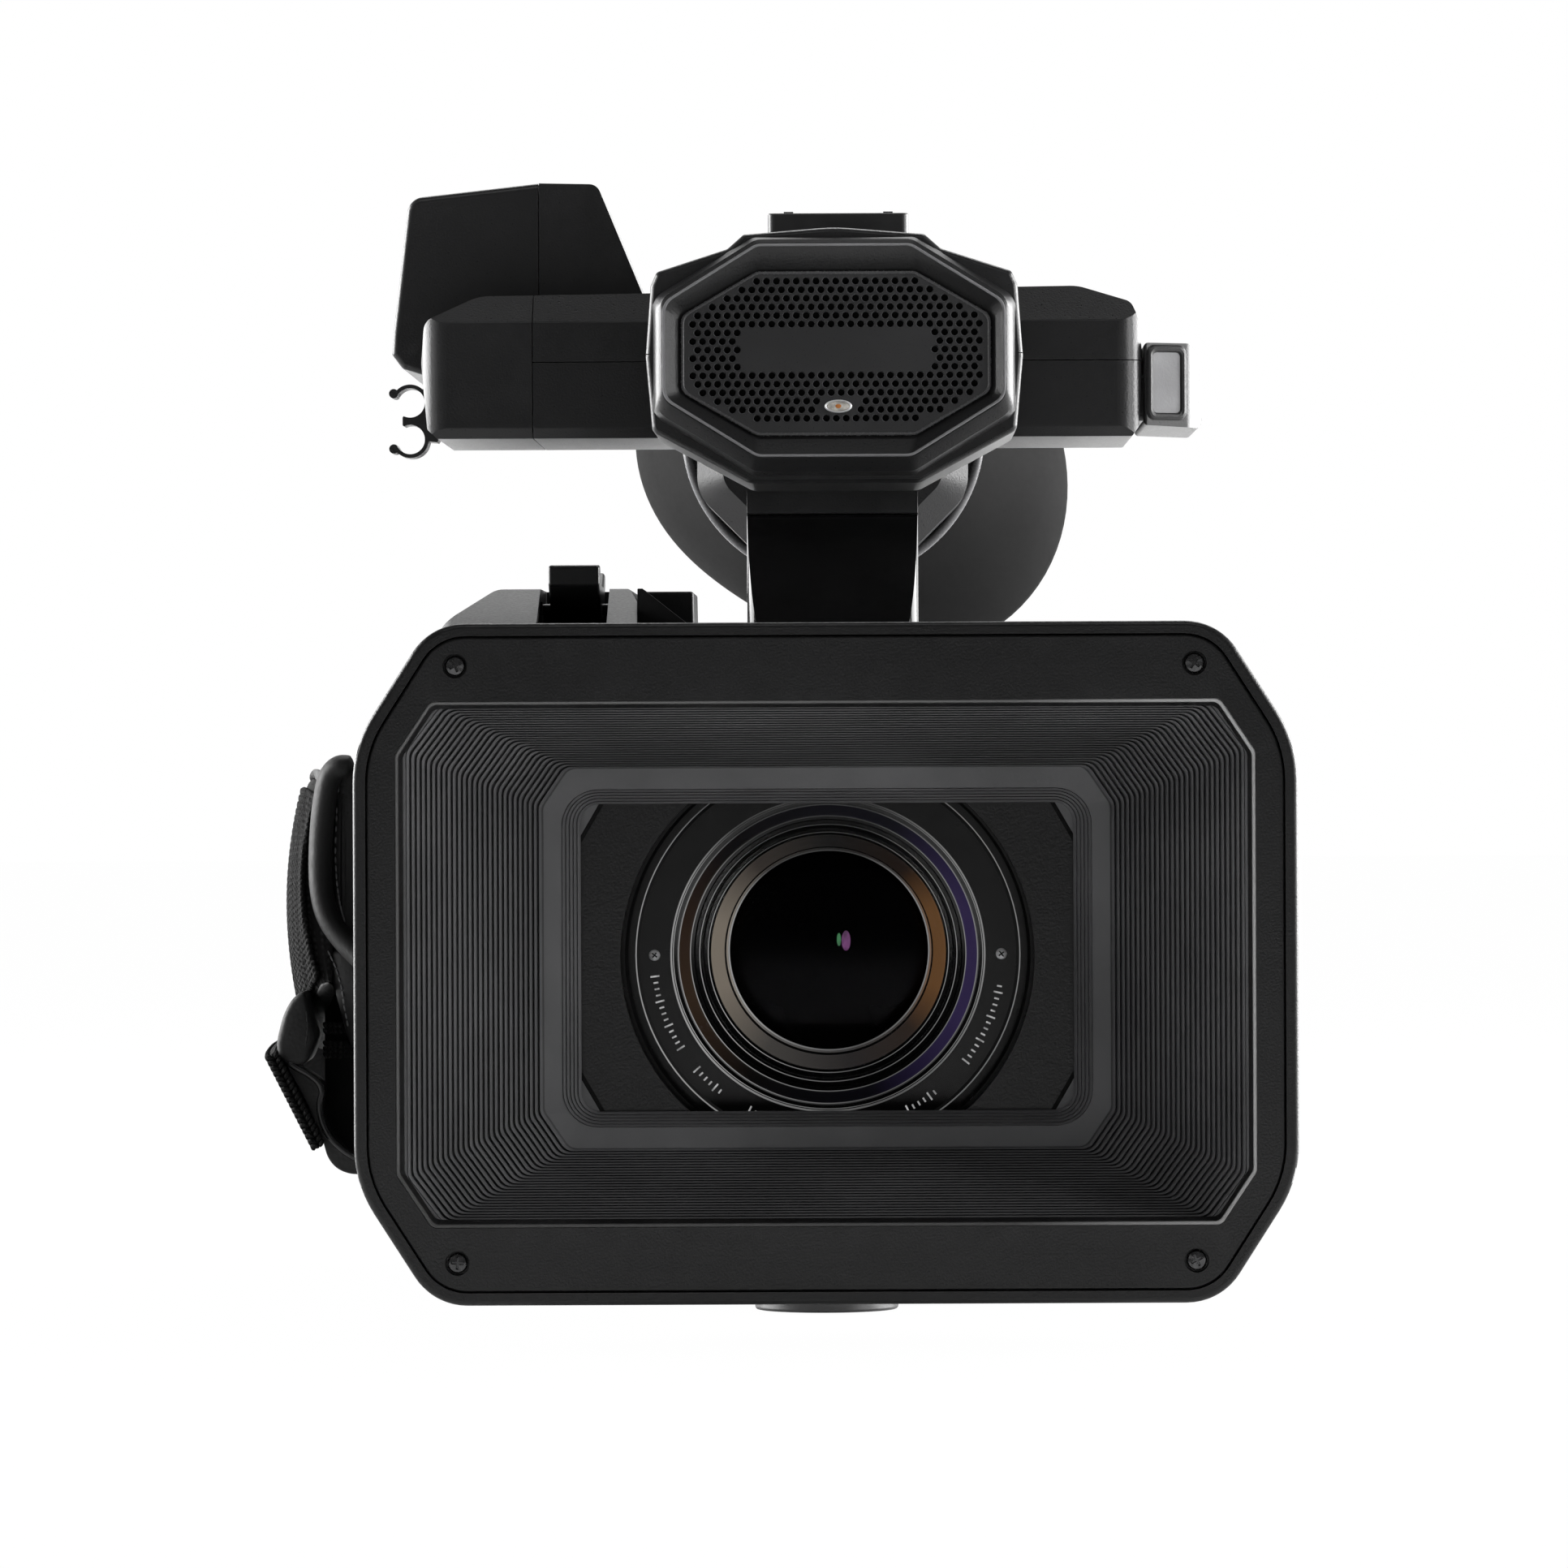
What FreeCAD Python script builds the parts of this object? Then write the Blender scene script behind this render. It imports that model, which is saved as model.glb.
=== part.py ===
"""Handheld camcorder with a matte box hood, a three-ring zoom lens, a top handle and a hand strap.

Frame, in millimetres: the origin is the tripod socket's mouth in the base plate, +Z is up and the lens looks
along -Y. The operator stands at +Y, so the grip side is -X and the control side is +X.
Each function below builds one sub-assembly and files its solids by node name in PARTS.
"""

import FreeCAD
import Part

import math
import os

Vector = FreeCAD.Vector
PARTS = {}

# Driving dimensions.
LENS_Z = 61.0               # height of the lens axis
HOOD_FRONT = -150.0         # the foremost plane
HOOD_W, HOOD_H = 150.3, 108.5
HOOD_CUT = (12.5, 19.5)     # corner cut of the hood outline, across and up
HOOD_BEND = (20.0, 10.0)    # corner radii of the hood outline, on its sides and on its top and bottom
HOOD_REAR = -104.0          # where the hood narrows to its collar
WALL = 2.2                  # moulded wall
GAP = 0.15                  # seam between fixed mouldings
SLIP = 0.06                 # radial clearance of a turning fit
BARREL_R = 38.5             # lens tube under the control rings
FILTER_R = 33.5             # M67 filter thread
RING_R = 44.4               # outside of the control rings
BODY_X = (-46.0, 58.0)
BODY_Z = (6.0, 114.0)
BODY_Y = (-18.0, 118.0)
SEAM_X = 6.0                # plane where the two body covers meet
SEAM_Z = 160.9              # plane where the two handle shells meet
NOSE_X = 1.45               # centre line of the microphone nose
EVF_Z = 157.0               # axis of the viewfinder
AUDIO_X = -50.0             # seam between the handle and the audio cover


# Geometry helpers.
def place(plane, u, v, w):
    """A point from plane coordinates: 'front' is XZ along Y, 'side' is YZ along X, 'plan' is XY along Z."""
    return {"front": Vector(u, w, v), "side": Vector(w, u, v), "plan": Vector(u, v, w)}[plane]


def outline(points, radius, plane, at):
    """Closed wire through points, with each corner rounded to radius (one value, or one per corner)."""
    count = len(points)
    radii = radius if isinstance(radius, (list, tuple)) else [radius] * count
    starts, mids, ends = [], [], []
    for i, (u, v) in enumerate(points):
        before, after = points[i - 1], points[(i + 1) % count]
        a = Vector(before[0] - u, before[1] - v, 0)
        b = Vector(after[0] - u, after[1] - v, 0)
        a.normalize()
        b.normalize()
        half = a.getAngle(b) / 2
        reach = radii[i] / math.tan(half)
        corner = Vector(u, v, 0)
        inward = (a + b).normalize()
        centre = corner + inward * (radii[i] / math.sin(half))
        starts.append(corner + a * reach)
        mids.append(centre - inward * radii[i])
        ends.append(corner + b * reach)
    edges = []
    for i in range(count):
        flat = (starts[i], mids[i], ends[i], starts[(i + 1) % count])
        start, middle, end, following = (place(plane, p.x, p.y, at) for p in flat)
        if radii[i] > 1e-6:
            edges.append(Part.Arc(start, middle, end).toShape())
        if end.distanceToPoint(following) > 1e-6:
            edges.append(Part.makeLine(end, following))
    return Part.Wire(edges)


def prism(points, radius, plane, low, high):
    """Solid of a rounded outline from low to high along the plane's normal."""
    start, end = place(plane, 0, 0, low), place(plane, 0, 0, high)
    return Part.Face(outline(points, radius, plane, low)).extrude(end - start)


def loft(sections, plane):
    """Ruled solid through (points, radius, at) sections that share one corner count."""
    wires = [outline(points, radius, plane, at) for points, radius, at in sections]
    return Part.makeLoft(wires, True, True)


def octagon(width, height, cut_u, cut_v, centre=(0.0, 0.0)):
    """Rectangle with its four corners cut, anticlockwise."""
    u, v = width / 2, height / 2
    quarter = [(u, -v + cut_v), (u, v - cut_v), (u - cut_u, v), (-u + cut_u, v)]
    shape = quarter + [(-a, -b) for a, b in quarter]
    return [(centre[0] + a, centre[1] + b) for a, b in shape]


def inset(points, distance):
    """Polygon with every side moved inwards by distance."""
    count = len(points)
    area = sum(points[i - 1][0] * points[i][1] - points[i][0] * points[i - 1][1] for i in range(count))
    turn = 1.0 if area > 0 else -1.0
    sides = []
    for i in range(count):
        (x0, y0), (x1, y1) = points[i], points[(i + 1) % count]
        length = math.hypot(x1 - x0, y1 - y0)
        nx, ny = -(y1 - y0) / length * turn, (x1 - x0) / length * turn
        sides.append((nx, ny, nx * x0 + ny * y0 + distance))
    result = []
    for i in range(count):
        (a, b, e), (c, d, f) = sides[i - 1], sides[i]
        det = a * d - b * c
        result.append(((e * d - b * f) / det, (a * f - e * c) / det))
    return result


def box(x0, x1, y0, y1, z0, z1):
    """Plain block between two corners."""
    return Part.makeBox(x1 - x0, y1 - y0, z1 - z0, Vector(x0, y0, z0))


def rod(radius, start, end):
    """Cylinder between two points."""
    start, end = Vector(*start), Vector(*end)
    return Part.makeCylinder(radius, start.distanceToPoint(end), start, end - start)


def turned(profile, base, axis):
    """Solid of revolution of (radius, height) points about axis, with heights counted from base."""
    axis, base = Vector(*axis), Vector(*base)
    side = Vector(0, 0, 1) if abs(axis.z) < 0.9 else Vector(1, 0, 0)
    points = [base + side * r + axis * h for r, h in profile]
    return Part.Face(Part.makePolygon(points + [points[0]])).revolve(base, axis, 360)


def lens_turned(profile):
    """Solid of revolution about the lens axis of (radius, y) points."""
    return turned(profile, (0, 0, LENS_Z), (0, 1, 0))


def edges_at(shape, plane, at):
    """Edges of shape that lie wholly in the plane at the given height."""
    key = {"front": "Y", "side": "X", "plan": "Z"}[plane]
    flat = []
    for edge in shape.Edges:
        room = edge.BoundBox
        if abs(getattr(room, key + "Min") - at) < 1e-4 and abs(getattr(room, key + "Max") - at) < 1e-4:
            flat.append(edge)
    return flat


def eased(shape, radius, edges):
    """Shape with edges filleted, or chamfered where a fillet can't be made."""
    for make in (shape.makeFillet, shape.makeChamfer):
        try:
            result = make(radius, edges)
            if result.isValid() and result.Volume > 0:
                return result
        except Part.OCCError:
            continue
    print("edges left sharp")
    return shape


def soft_box(x0, x1, y0, y1, z0, z1, radius):
    """Block with every edge rounded."""
    block = box(x0, x1, y0, y1, z0, z1)
    return eased(block, radius, block.Edges)


def soft_prism(points, radius, plane, low, high, ease, ends=("low", "high")):
    """Prism whose end edges are rounded too."""
    solid = prism(points, radius, plane, low, high)
    edges = []
    if "low" in ends:
        edges += edges_at(solid, plane, low)
    if "high" in ends:
        edges += edges_at(solid, plane, high)
    return eased(solid, ease, edges)


def add(name, *solids):
    """Files the solids as one node."""
    PARTS[name] = solids[0] if len(solids) == 1 else Part.makeCompound(list(solids))


def mirrored(shape, centre_x):
    """Shape reflected across the plane x = centre_x."""
    return shape.mirror(Vector(centre_x, 0, 0), Vector(1, 0, 0))


# Hood.
FRAME_SCREW_X, FRAME_SCREW_Z = 58.8, 47.5
MASK_W, MASK_H = 80.7, 50.4


def hood_outline(shrink=0.0):
    """Outline of the hood's mouth, moved inwards by shrink."""
    return inset(octagon(HOOD_W, HOOD_H, *HOOD_CUT, centre=(0, LENS_Z)), shrink)


def rounded_mouth(shrink=0.0):
    """Corner radii that keep concentric outlines parallel."""
    side, level = (max(bend - shrink, 1.5) for bend in HOOD_BEND)
    return [side, side, level, level] * 2


def screw_spots():
    """Places of the four frame screws, as (x, z)."""
    return [(sx * FRAME_SCREW_X, LENS_Z + sz * FRAME_SCREW_Z) for sx in (-1, 1) for sz in (-1, 1)]


def hood_shell():
    """Outer shell: a straight mouth, a taper and a round collar over the barrel's front."""
    taper_start, collar_end, collar_r = HOOD_FRONT + 12, -91.0, 47.0
    rear = octagon(112, 100, 26, 28, centre=(0, LENS_Z))

    def skin(shrink, front, back):
        mouth, radius = hood_outline(shrink), rounded_mouth(shrink)
        straight = prism(mouth, radius, "front", front, taper_start)
        taper = loft([(mouth, radius, taper_start), (inset(rear, shrink), radius, back)], "front")
        return straight.fuse(taper)

    outer = skin(0.0, HOOD_FRONT, HOOD_REAR)
    outer = eased(outer, 0.8, edges_at(outer, "front", HOOD_FRONT))
    outer = outer.fuse(rod(collar_r, (0, HOOD_REAR - 1, LENS_Z), (0, collar_end, LENS_Z)))
    inner = skin(2.0, HOOD_FRONT - 1, HOOD_REAR - 2)
    bore = rod(41.1, (0, HOOD_REAR + 1, LENS_Z), (0, collar_end + 1, LENS_Z))
    window = rod(34.0, (0, HOOD_REAR - 5, LENS_Z), (0, HOOD_REAR + 2, LENS_Z))
    shell = outer.cut(inner).cut(bore).cut(window)
    for x, z in screw_spots():
        wall_z = LENS_Z + math.copysign(HOOD_H / 2 - 1.0, z - LENS_Z)
        boss = rod(2.6, (x, -144.8, z), (x, -137, z))
        web = box(x - 2.6, x + 2.6, -144.8, -137, min(z, wall_z), max(z, wall_z))
        shell = shell.fuse(boss.fuse(web))
        shell = shell.cut(rod(1.05, (x, -145, z), (x, -139, z)))
    button_slot = box(40, 49, -101.1, -94.9, LENS_Z - 6.1, LENS_Z + 6.1)
    add("hood_shell", shell.cut(button_slot).removeSplitter())
    button = soft_box(42.0, 48.6, -101, -95, LENS_Z - 6, LENS_Z + 6, 0.5)
    add("hood_release", button)


def hood_frame():
    """Front plate with a sloped inner lip, held by four screws."""
    front, back = HOOD_FRONT + 0.4, HOOD_FRONT + 3.5
    plate = soft_prism(hood_outline(2.0 + GAP), rounded_mouth(2.0 + GAP), "front", front, back, 0.4, ("low",))
    mouth = octagon(137.0, 83.8, 5.6, 8.4, centre=(0, LENS_Z))
    opening = loft([(inset(mouth, -0.4), 1.6, front - 1), (inset(mouth, 1.4), 1.6, back + 0.5)], "front")
    plate = plate.cut(opening)
    screws = []
    for x, z in screw_spots():
        plate = plate.cut(rod(1.95, (x, front - 1, z), (x, front + 1.9, z)))
        plate = plate.cut(rod(1.15, (x, front, z), (x, back + 1, z)))
        head = turned([(0, 0.3), (1.4, 0.3), (1.65, 0.55), (1.65, 1.85), (1.0, 1.85), (1.0, 8.6), (0, 8.6)],
                      (x, front, z), (0, 1, 0))
        for long_u, long_v in ((2.0, 0.42), (0.42, 2.0)):
            slot = box(x - long_u / 2, x + long_u / 2, front, front + 1.1, z - long_v / 2, z + long_v / 2)
            head = head.cut(slot)
        screws.append(head)
    add("hood_frame", plate)
    add("hood_frame_screws", *screws)


def hood_baffle():
    """Stepped funnel that shades the lens and ends in a rectangular mask."""
    front, rib_end, mask_front, mask_back = HOOD_FRONT + 3.6, -112.0, -107.8, -106.2
    steps = 9
    wide, narrow = octagon(134.0, 82.6, 5.6, 8.4, (0, LENS_Z)), octagon(92.6, 62.0, 4.2, 6.2, (0, LENS_Z))

    def between(t):
        return [(a[0] + (b[0] - a[0]) * t, a[1] + (b[1] - a[1]) * t) for a, b in zip(wide, narrow)]

    flange = prism(hood_outline(2.3), rounded_mouth(2.3), "front", front, front + 1.5)
    funnel = loft([(inset(wide, -2.6), 3.0, front), (inset(narrow, -2.2), 3.0, rib_end)], "front")
    block = prism(inset(narrow, -2.2), 3.0, "front", rib_end, mask_back)
    baffle = flange.fuse([funnel, block])
    for i in range(steps):
        deep = front + (rib_end - front) * (i + 1) / steps
        baffle = baffle.cut(prism(between(i / steps), 2.2, "front", front - 1, deep))
    throat = octagon(86.4, 56.0, 4.0, 4.0, (0, LENS_Z))
    mask = octagon(MASK_W, MASK_H, 2.0, 2.0, (0, LENS_Z))
    baffle = baffle.cut(loft([(throat, 2.0, rib_end - 1), (inset(mask, -0.5), 2.0, mask_front)], "front"))
    baffle = baffle.cut(prism(mask, 2.0, "front", mask_front - 1, mask_back + 1))
    for x, z in screw_spots():
        baffle = baffle.cut(rod(1.15, (x, front - 1, z), (x, front + 3, z)))
    add("hood_baffle", baffle.removeSplitter())


# Lens.
RING_SPANS = {"focus_ring": (-87.3, -58.7), "zoom_ring": (-56.8, -38.7), "iris_ring": (-36.8, -22.2)}
ZOOM_TRAVEL = 34.0
ND_AXIS_X = 13.0


def lens_barrel():
    """Fixed tube: filter thread, seats between the control rings, mount flange and a rear wall."""
    flange_r = 43.6
    outer = [(FILTER_R, -96), (40.9, -96), (40.9, -90), (flange_r, -90), (flange_r, -87.5), (BARREL_R, -87.5),
             (BARREL_R, -58.5), (flange_r, -58.5), (flange_r, -57), (BARREL_R, -57), (BARREL_R, -38.5),
             (flange_r, -38.5), (flange_r, -37), (BARREL_R, -37), (BARREL_R, -22), (44.5, -22), (44.5, -18.05),
             (36, -18.05), (36, 12)]
    inner = [(12, 12), (12, 9), (30, 9), (30, -88.5), (31.9, -88.5), (31.9, -91), (FILTER_R, -91)]
    barrel = lens_turned(outer + inner)
    posts = [(x, LENS_Z + z) for x in (-18, 18) for z in (-29, 29)]
    for x, z in posts:
        barrel = barrel.fuse(rod(1.6, (x, 11, z), (x, 22, z)))
    barrel = barrel.fuse(rod(1.94, (ND_AXIS_X, 11, LENS_Z), (ND_AXIS_X, 17.5, LENS_Z)))
    add("lens_barrel", barrel)


def control_rings():
    """Focus, zoom and iris rings, which turn on the barrel. The zoom ring has a lever pin."""
    for name, (low, high) in RING_SPANS.items():
        bore, c = BARREL_R + SLIP, 0.6
        profile = [(bore, low), (RING_R - c, low), (RING_R, low + c), (RING_R, high - c), (RING_R - c, high),
                   (bore, high)]
        ring = lens_turned(profile)
        if name == "zoom_ring":
            middle = (low + high) / 2
            lever = turned([(0, 0), (2.6, 0), (2.2, 8), (2.9, 9), (2.9, 10), (2.3, 10.8), (0, 10.8)],
                           (RING_R - 2, middle, LENS_Z), (1, 0, 0))
            ring = ring.fuse(lever)
        add(name, ring)


def front_group():
    """Name ring, front cell with its light baffles, and the front lens element."""
    ring = lens_turned([(25.8, -90.4), (31.2, -90.4), (31.8, -89.8), (31.8, -88.55), (25.8, -88.55)])
    for x in (-28.8, 28.8):
        ring = ring.cut(rod(1.0, (x, -91, LENS_Z), (x, -89.6, LENS_Z)))
        screw = rod(0.85, (x, -90.3, LENS_Z), (x, -89.5, LENS_Z))
        ring = ring.fuse(screw.cut(box(x - 0.6, x + 0.6, -90.4, -90.0, LENS_Z - 0.12, LENS_Z + 0.12)))
    add("name_ring", ring)
    cell = [(25.7, -88.4), (29.9, -88.4), (29.9, -64), (16.3, -64), (16.3, -67), (18.8, -75.2), (22.7, -75.2),
            (22.7, -82), (21.6, -82), (21.6, -83.2), (22.8, -83.8), (22.8, -85), (24.0, -85.5), (24.0, -86.6),
            (25.0, -87.1)]
    add("front_cell", lens_turned(cell))
    edge_r, dome = 22.6, 58.5
    profile = Part.Wire([
        Part.makeLine(Vector(0, -76, LENS_Z), Vector(0, -84.9, LENS_Z)),
        Part.Arc(Vector(0, -84.9, LENS_Z), Vector(0, -84.9 + dome - math.sqrt(dome ** 2 - 121), LENS_Z + 11),
                 Vector(0, -84.9 + dome - math.sqrt(dome ** 2 - edge_r ** 2), LENS_Z + edge_r)).toShape(),
        Part.makeLine(Vector(0, -84.9 + dome - math.sqrt(dome ** 2 - edge_r ** 2), LENS_Z + edge_r),
                      Vector(0, -76, LENS_Z + edge_r)),
        Part.makeLine(Vector(0, -76, LENS_Z + edge_r), Vector(0, -76, LENS_Z)),
    ])
    add("front_element", Part.Face(profile).revolve(Vector(0, 0, LENS_Z), Vector(0, 1, 0), 360))


def zoom_group():
    """Carriage and glass that slide in the barrel as the zoom ring turns."""
    y = -58.0
    carriage = [(15.1, y), (29.94, y), (29.94, y + 14), (26, y + 14), (26, y + 5), (17.5, y + 5), (17.5, y + 9),
                (14.0, y + 9), (14.0, y + 7), (15.1, y + 7)]
    add("zoom_carriage", lens_turned(carriage))
    add("zoom_lens", lens_turned([(0, y + 0.2), (6, y + 0.6), (11, y + 1.8), (15.0, y + 3.6), (15.0, y + 6.9),
                                  (0, y + 6.9)]))


def sensor_group():
    """ND filter wheel with one clear and three filtered windows, and the image sensor on its board."""
    low, high, reach, window = 14.2, 15.8, 13.0, 8.2
    wheel = rod(23.5, (ND_AXIS_X, low, LENS_Z), (ND_AXIS_X, high, LENS_Z))
    wheel = wheel.cut(rod(2.0, (ND_AXIS_X, low - 1, LENS_Z), (ND_AXIS_X, high + 1, LENS_Z)))
    for quarter in range(4):
        angle = math.pi + quarter * math.pi / 2
        x, z = ND_AXIS_X + reach * math.cos(angle), LENS_Z + reach * math.sin(angle)
        window_hole = rod(window, (x, low - 1, z), (x, high + 1, z))
        wheel = wheel.cut(window_hole)
        if quarter:
            wheel = wheel.fuse(rod(window, (x, low + 0.5, z), (x, high - 0.5, z)))
    add("nd_wheel", wheel)
    board = box(-24, 24, 22.02, 23.6, LENS_Z - 33, LENS_Z + 33)
    chip = box(-8, 8, 23.6, 25.0, LENS_Z + 10, LENS_Z + 24)
    sensor = box(-9.5, 9.5, 20.2, 22.1, LENS_Z - 7.5, LENS_Z + 7.5)
    add("sensor_board", board.fuse([chip, sensor]))


# Body.
GRIP_SILHOUETTE = [(-40, 14), (-60, 16), (-70, 34), (-72, 60), (-72, 104), (-69.4, 117), (-59.7, 123.9),
                   (-35.9, 123.9), (-34.4, 121.5), (-33.4, 108)]
GRIP_PLAN = [(-30, 6), (-56, 6), (-70, 16), (-72, 30), (-72, 100), (-70, 109), (-66, 112), (-30, 112)]
GRIP_SIDE = [(6, 0), (118, 0), (118, 123.9), (28, 123.9), (6, 116.6)]
ROCKER_Y = 40.0
ROCKER_X = -45.7
ROCKER_PIN_Z = 120.4
ROCKER_SLOT = 6.2           # half width of the channel the rocker sits in
RECORD_AT = (-55.6, 92.0)   # x, z of the record button on the grip's rear
RECORD_R = 5.4


def body_outline(shrink=0.0):
    """Cross-section of the main body."""
    width, height = BODY_X[1] - BODY_X[0], BODY_Z[1] - BODY_Z[0]
    centre = ((BODY_X[0] + BODY_X[1]) / 2, (BODY_Z[0] + BODY_Z[1]) / 2)
    return inset(octagon(width, height, 12, 17, centre), shrink)


def body_form(shrink):
    """Main body volume with a bevelled front, moved inwards by shrink."""
    front, back, bevel = BODY_Y[0] + shrink, BODY_Y[1] - shrink, 9.0
    shape = body_outline(shrink)
    radius = max(7.0 - shrink, 2.0)
    nose = loft([(inset(shape, bevel * 0.8), radius, front), (shape, radius, front + bevel)], "front")
    rest = prism(shape, radius, "front", front + bevel, back)
    return nose.fuse(rest).removeSplitter()


def grip_form(shrink):
    """Grip volume: front, plan and side silhouettes crossed, with a shoulder that slopes to the front."""
    radii = [max(r - shrink, 0.8) for r in (2, 8, 12, 12, 12, 6, 4, 1, 1, 2)]
    plan_radii = [max(r - shrink, 0.8) for r in (2, 10, 8, 14, 12, 3, 2, 2)]
    front = prism(inset(GRIP_SILHOUETTE, shrink), radii, "front", 0, 118)
    plan = prism(inset(GRIP_PLAN, shrink), plan_radii, "plan", 0, 130)
    side_radii = [max(r - shrink, 0.3) for r in (1, 1, 1, 6, 2)]
    side = prism(inset(GRIP_SIDE, shrink), side_radii, "side", -80, -25)
    return front.common(plan).common(side)


def body_covers():
    """Left and right covers, split at SEAM_X, with openings for the lens and for every control."""
    outer = body_form(0.0)
    outer = eased(outer, 2.0, edges_at(outer, "front", BODY_Y[1]))
    hollow = body_form(WALL)
    hollow = hollow.fuse(box(BODY_X[0] + 14, BODY_X[1] - 14, BODY_Y[1] - 6, BODY_Y[1] + 4,
                             BODY_Z[0] + 19, BODY_Z[1] - 19))
    grip_outer = grip_form(0.0)
    right_side = box(-90, SEAM_X - GAP / 2, -30, 130, 0, 130)
    wedge = prism([(-34.2, 123.7), (-33.3, 123.7), (-19.8, 113.0), (-34.2, 113.0)], 0.2, "front", 16, 60)
    block_shape = [(-33.4, 123.4), (-24.5, 123.4), (-24.3, 113.0), (-33.4, 113.0)]
    block = soft_prism(block_shape, 0.6, "front", 30, 64, 0.5, ("low",))
    left_side = box(SEAM_X + GAP / 2, 90, -30, 130, 0, 130)
    lens_hole = rod(36.1, (0, -30, LENS_Z), (0, 0, LENS_Z))
    right = outer.fuse([grip_outer, wedge, block]).common(right_side)
    right = right.cut(hollow).cut(grip_form(WALL)).cut(lens_hole)
    left = outer.common(left_side).cut(hollow).cut(lens_hole)
    right = right.cut(box(ROCKER_X - ROCKER_SLOT, ROCKER_X + ROCKER_SLOT, 0, ROCKER_Y + 19.4, 114, 130))
    for x in (ROCKER_X - ROCKER_SLOT - 1.6, ROCKER_X + ROCKER_SLOT):
        right = right.fuse(box(x, x + 1.6, ROCKER_Y - 2.5, ROCKER_Y + 2.5, 118.2, 122))
    pin_start = (ROCKER_X - 9, ROCKER_Y, ROCKER_PIN_Z)
    pin_end = (ROCKER_X + 9, ROCKER_Y, ROCKER_PIN_Z)
    right = right.cut(rod(1.0 + SLIP, pin_start, pin_end))
    record_x, record_z = RECORD_AT
    right = right.cut(rod(RECORD_R + 0.1, (record_x, 100, record_z), (record_x, 120, record_z)))
    for y, z, radius in left_holes():
        left = left.cut(rod(radius, (50, y, z), (60, y, z)))
    left = left.cut(box(50, 60, 4.8, 19.2, 88.4, 91.6))
    left = left.cut(box(55, 60, CARD_Y[0] - GAP, CARD_Y[1] + GAP, CARD_Z[0] - GAP, CARD_Z[1] + GAP))
    for i in range(6):
        left = left.cut(box(50, 60, 62, 84, 70 + 3.2 * i, 71.4 + 3.2 * i))
    hinge_x, hinge_z = CARD_HINGE
    for y in (CARD_Y[0] - 2.2, CARD_Y[1] + 0.2):
        lug = rod(HINGE_R, (hinge_x, y, hinge_z), (hinge_x, y + 2, hinge_z))
        left = left.fuse(lug.fuse(box(57, hinge_x, y, y + 2, hinge_z - HINGE_R, hinge_z + HINGE_R)))
    left = left.fuse(rod(HINGE_PIN_R, (hinge_x, CARD_Y[0] - 1, hinge_z), (hinge_x, CARD_Y[1] + 1, hinge_z)))
    for x, y in BASE_SCREWS:
        target_is_left = x > SEAM_X
        hole = rod(1.55, (x, y, 0), (x, y, 12))
        left, right = (left.cut(hole), right) if target_is_left else (left, right.cut(hole))
    for x, y, z0, z1 in ((-57.0, 8.6, 26, 52), (-66.0, 108.6, 46, 74)):
        right = right.fuse(box(-74.8, x, y - 1.2, y + 1.2, z0, z1))
    add("body_right_cover", right.removeSplitter())
    add("body_left_cover", left.removeSplitter())


# Controls on the left cover, as (y, z).
BUTTON_SPOTS = {"user_button_1": (34, 90), "user_button_2": (46, 90)}
DIAL_SPOTS = {"audio_dial_1": (94, 84), "audio_dial_2": (94, 66)}
JOG_SPOT = (14, 40)
BUTTON_R = 3.2
CARD_Y, CARD_Z = (60.0, 108.0), (28.0, 58.0)
CARD_HINGE = (59.0, 28.9)   # x, z of the card door's pin
FLAP_X, FLAP_Z = (34.0, 52.6), (26.0, 50.0)
FLAP_HINGE = (52.6, 123.4)  # x, y of the terminal flap's pin
HINGE_R, HINGE_PIN_R = 1.2, 0.5
BASE_SCREWS = [(-14.0, 30.0), (-14.0, 54.0), (26.0, 30.0), (26.0, 54.0)]


def left_holes():
    """Holes in the left cover as (y, z, radius)."""
    holes = [(y, z, BUTTON_R + 0.15) for y, z in BUTTON_SPOTS.values()]
    holes += [(y, z, 1.6) for y, z in DIAL_SPOTS.values()]
    return holes + [(*JOG_SPOT, 1.6)]


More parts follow.
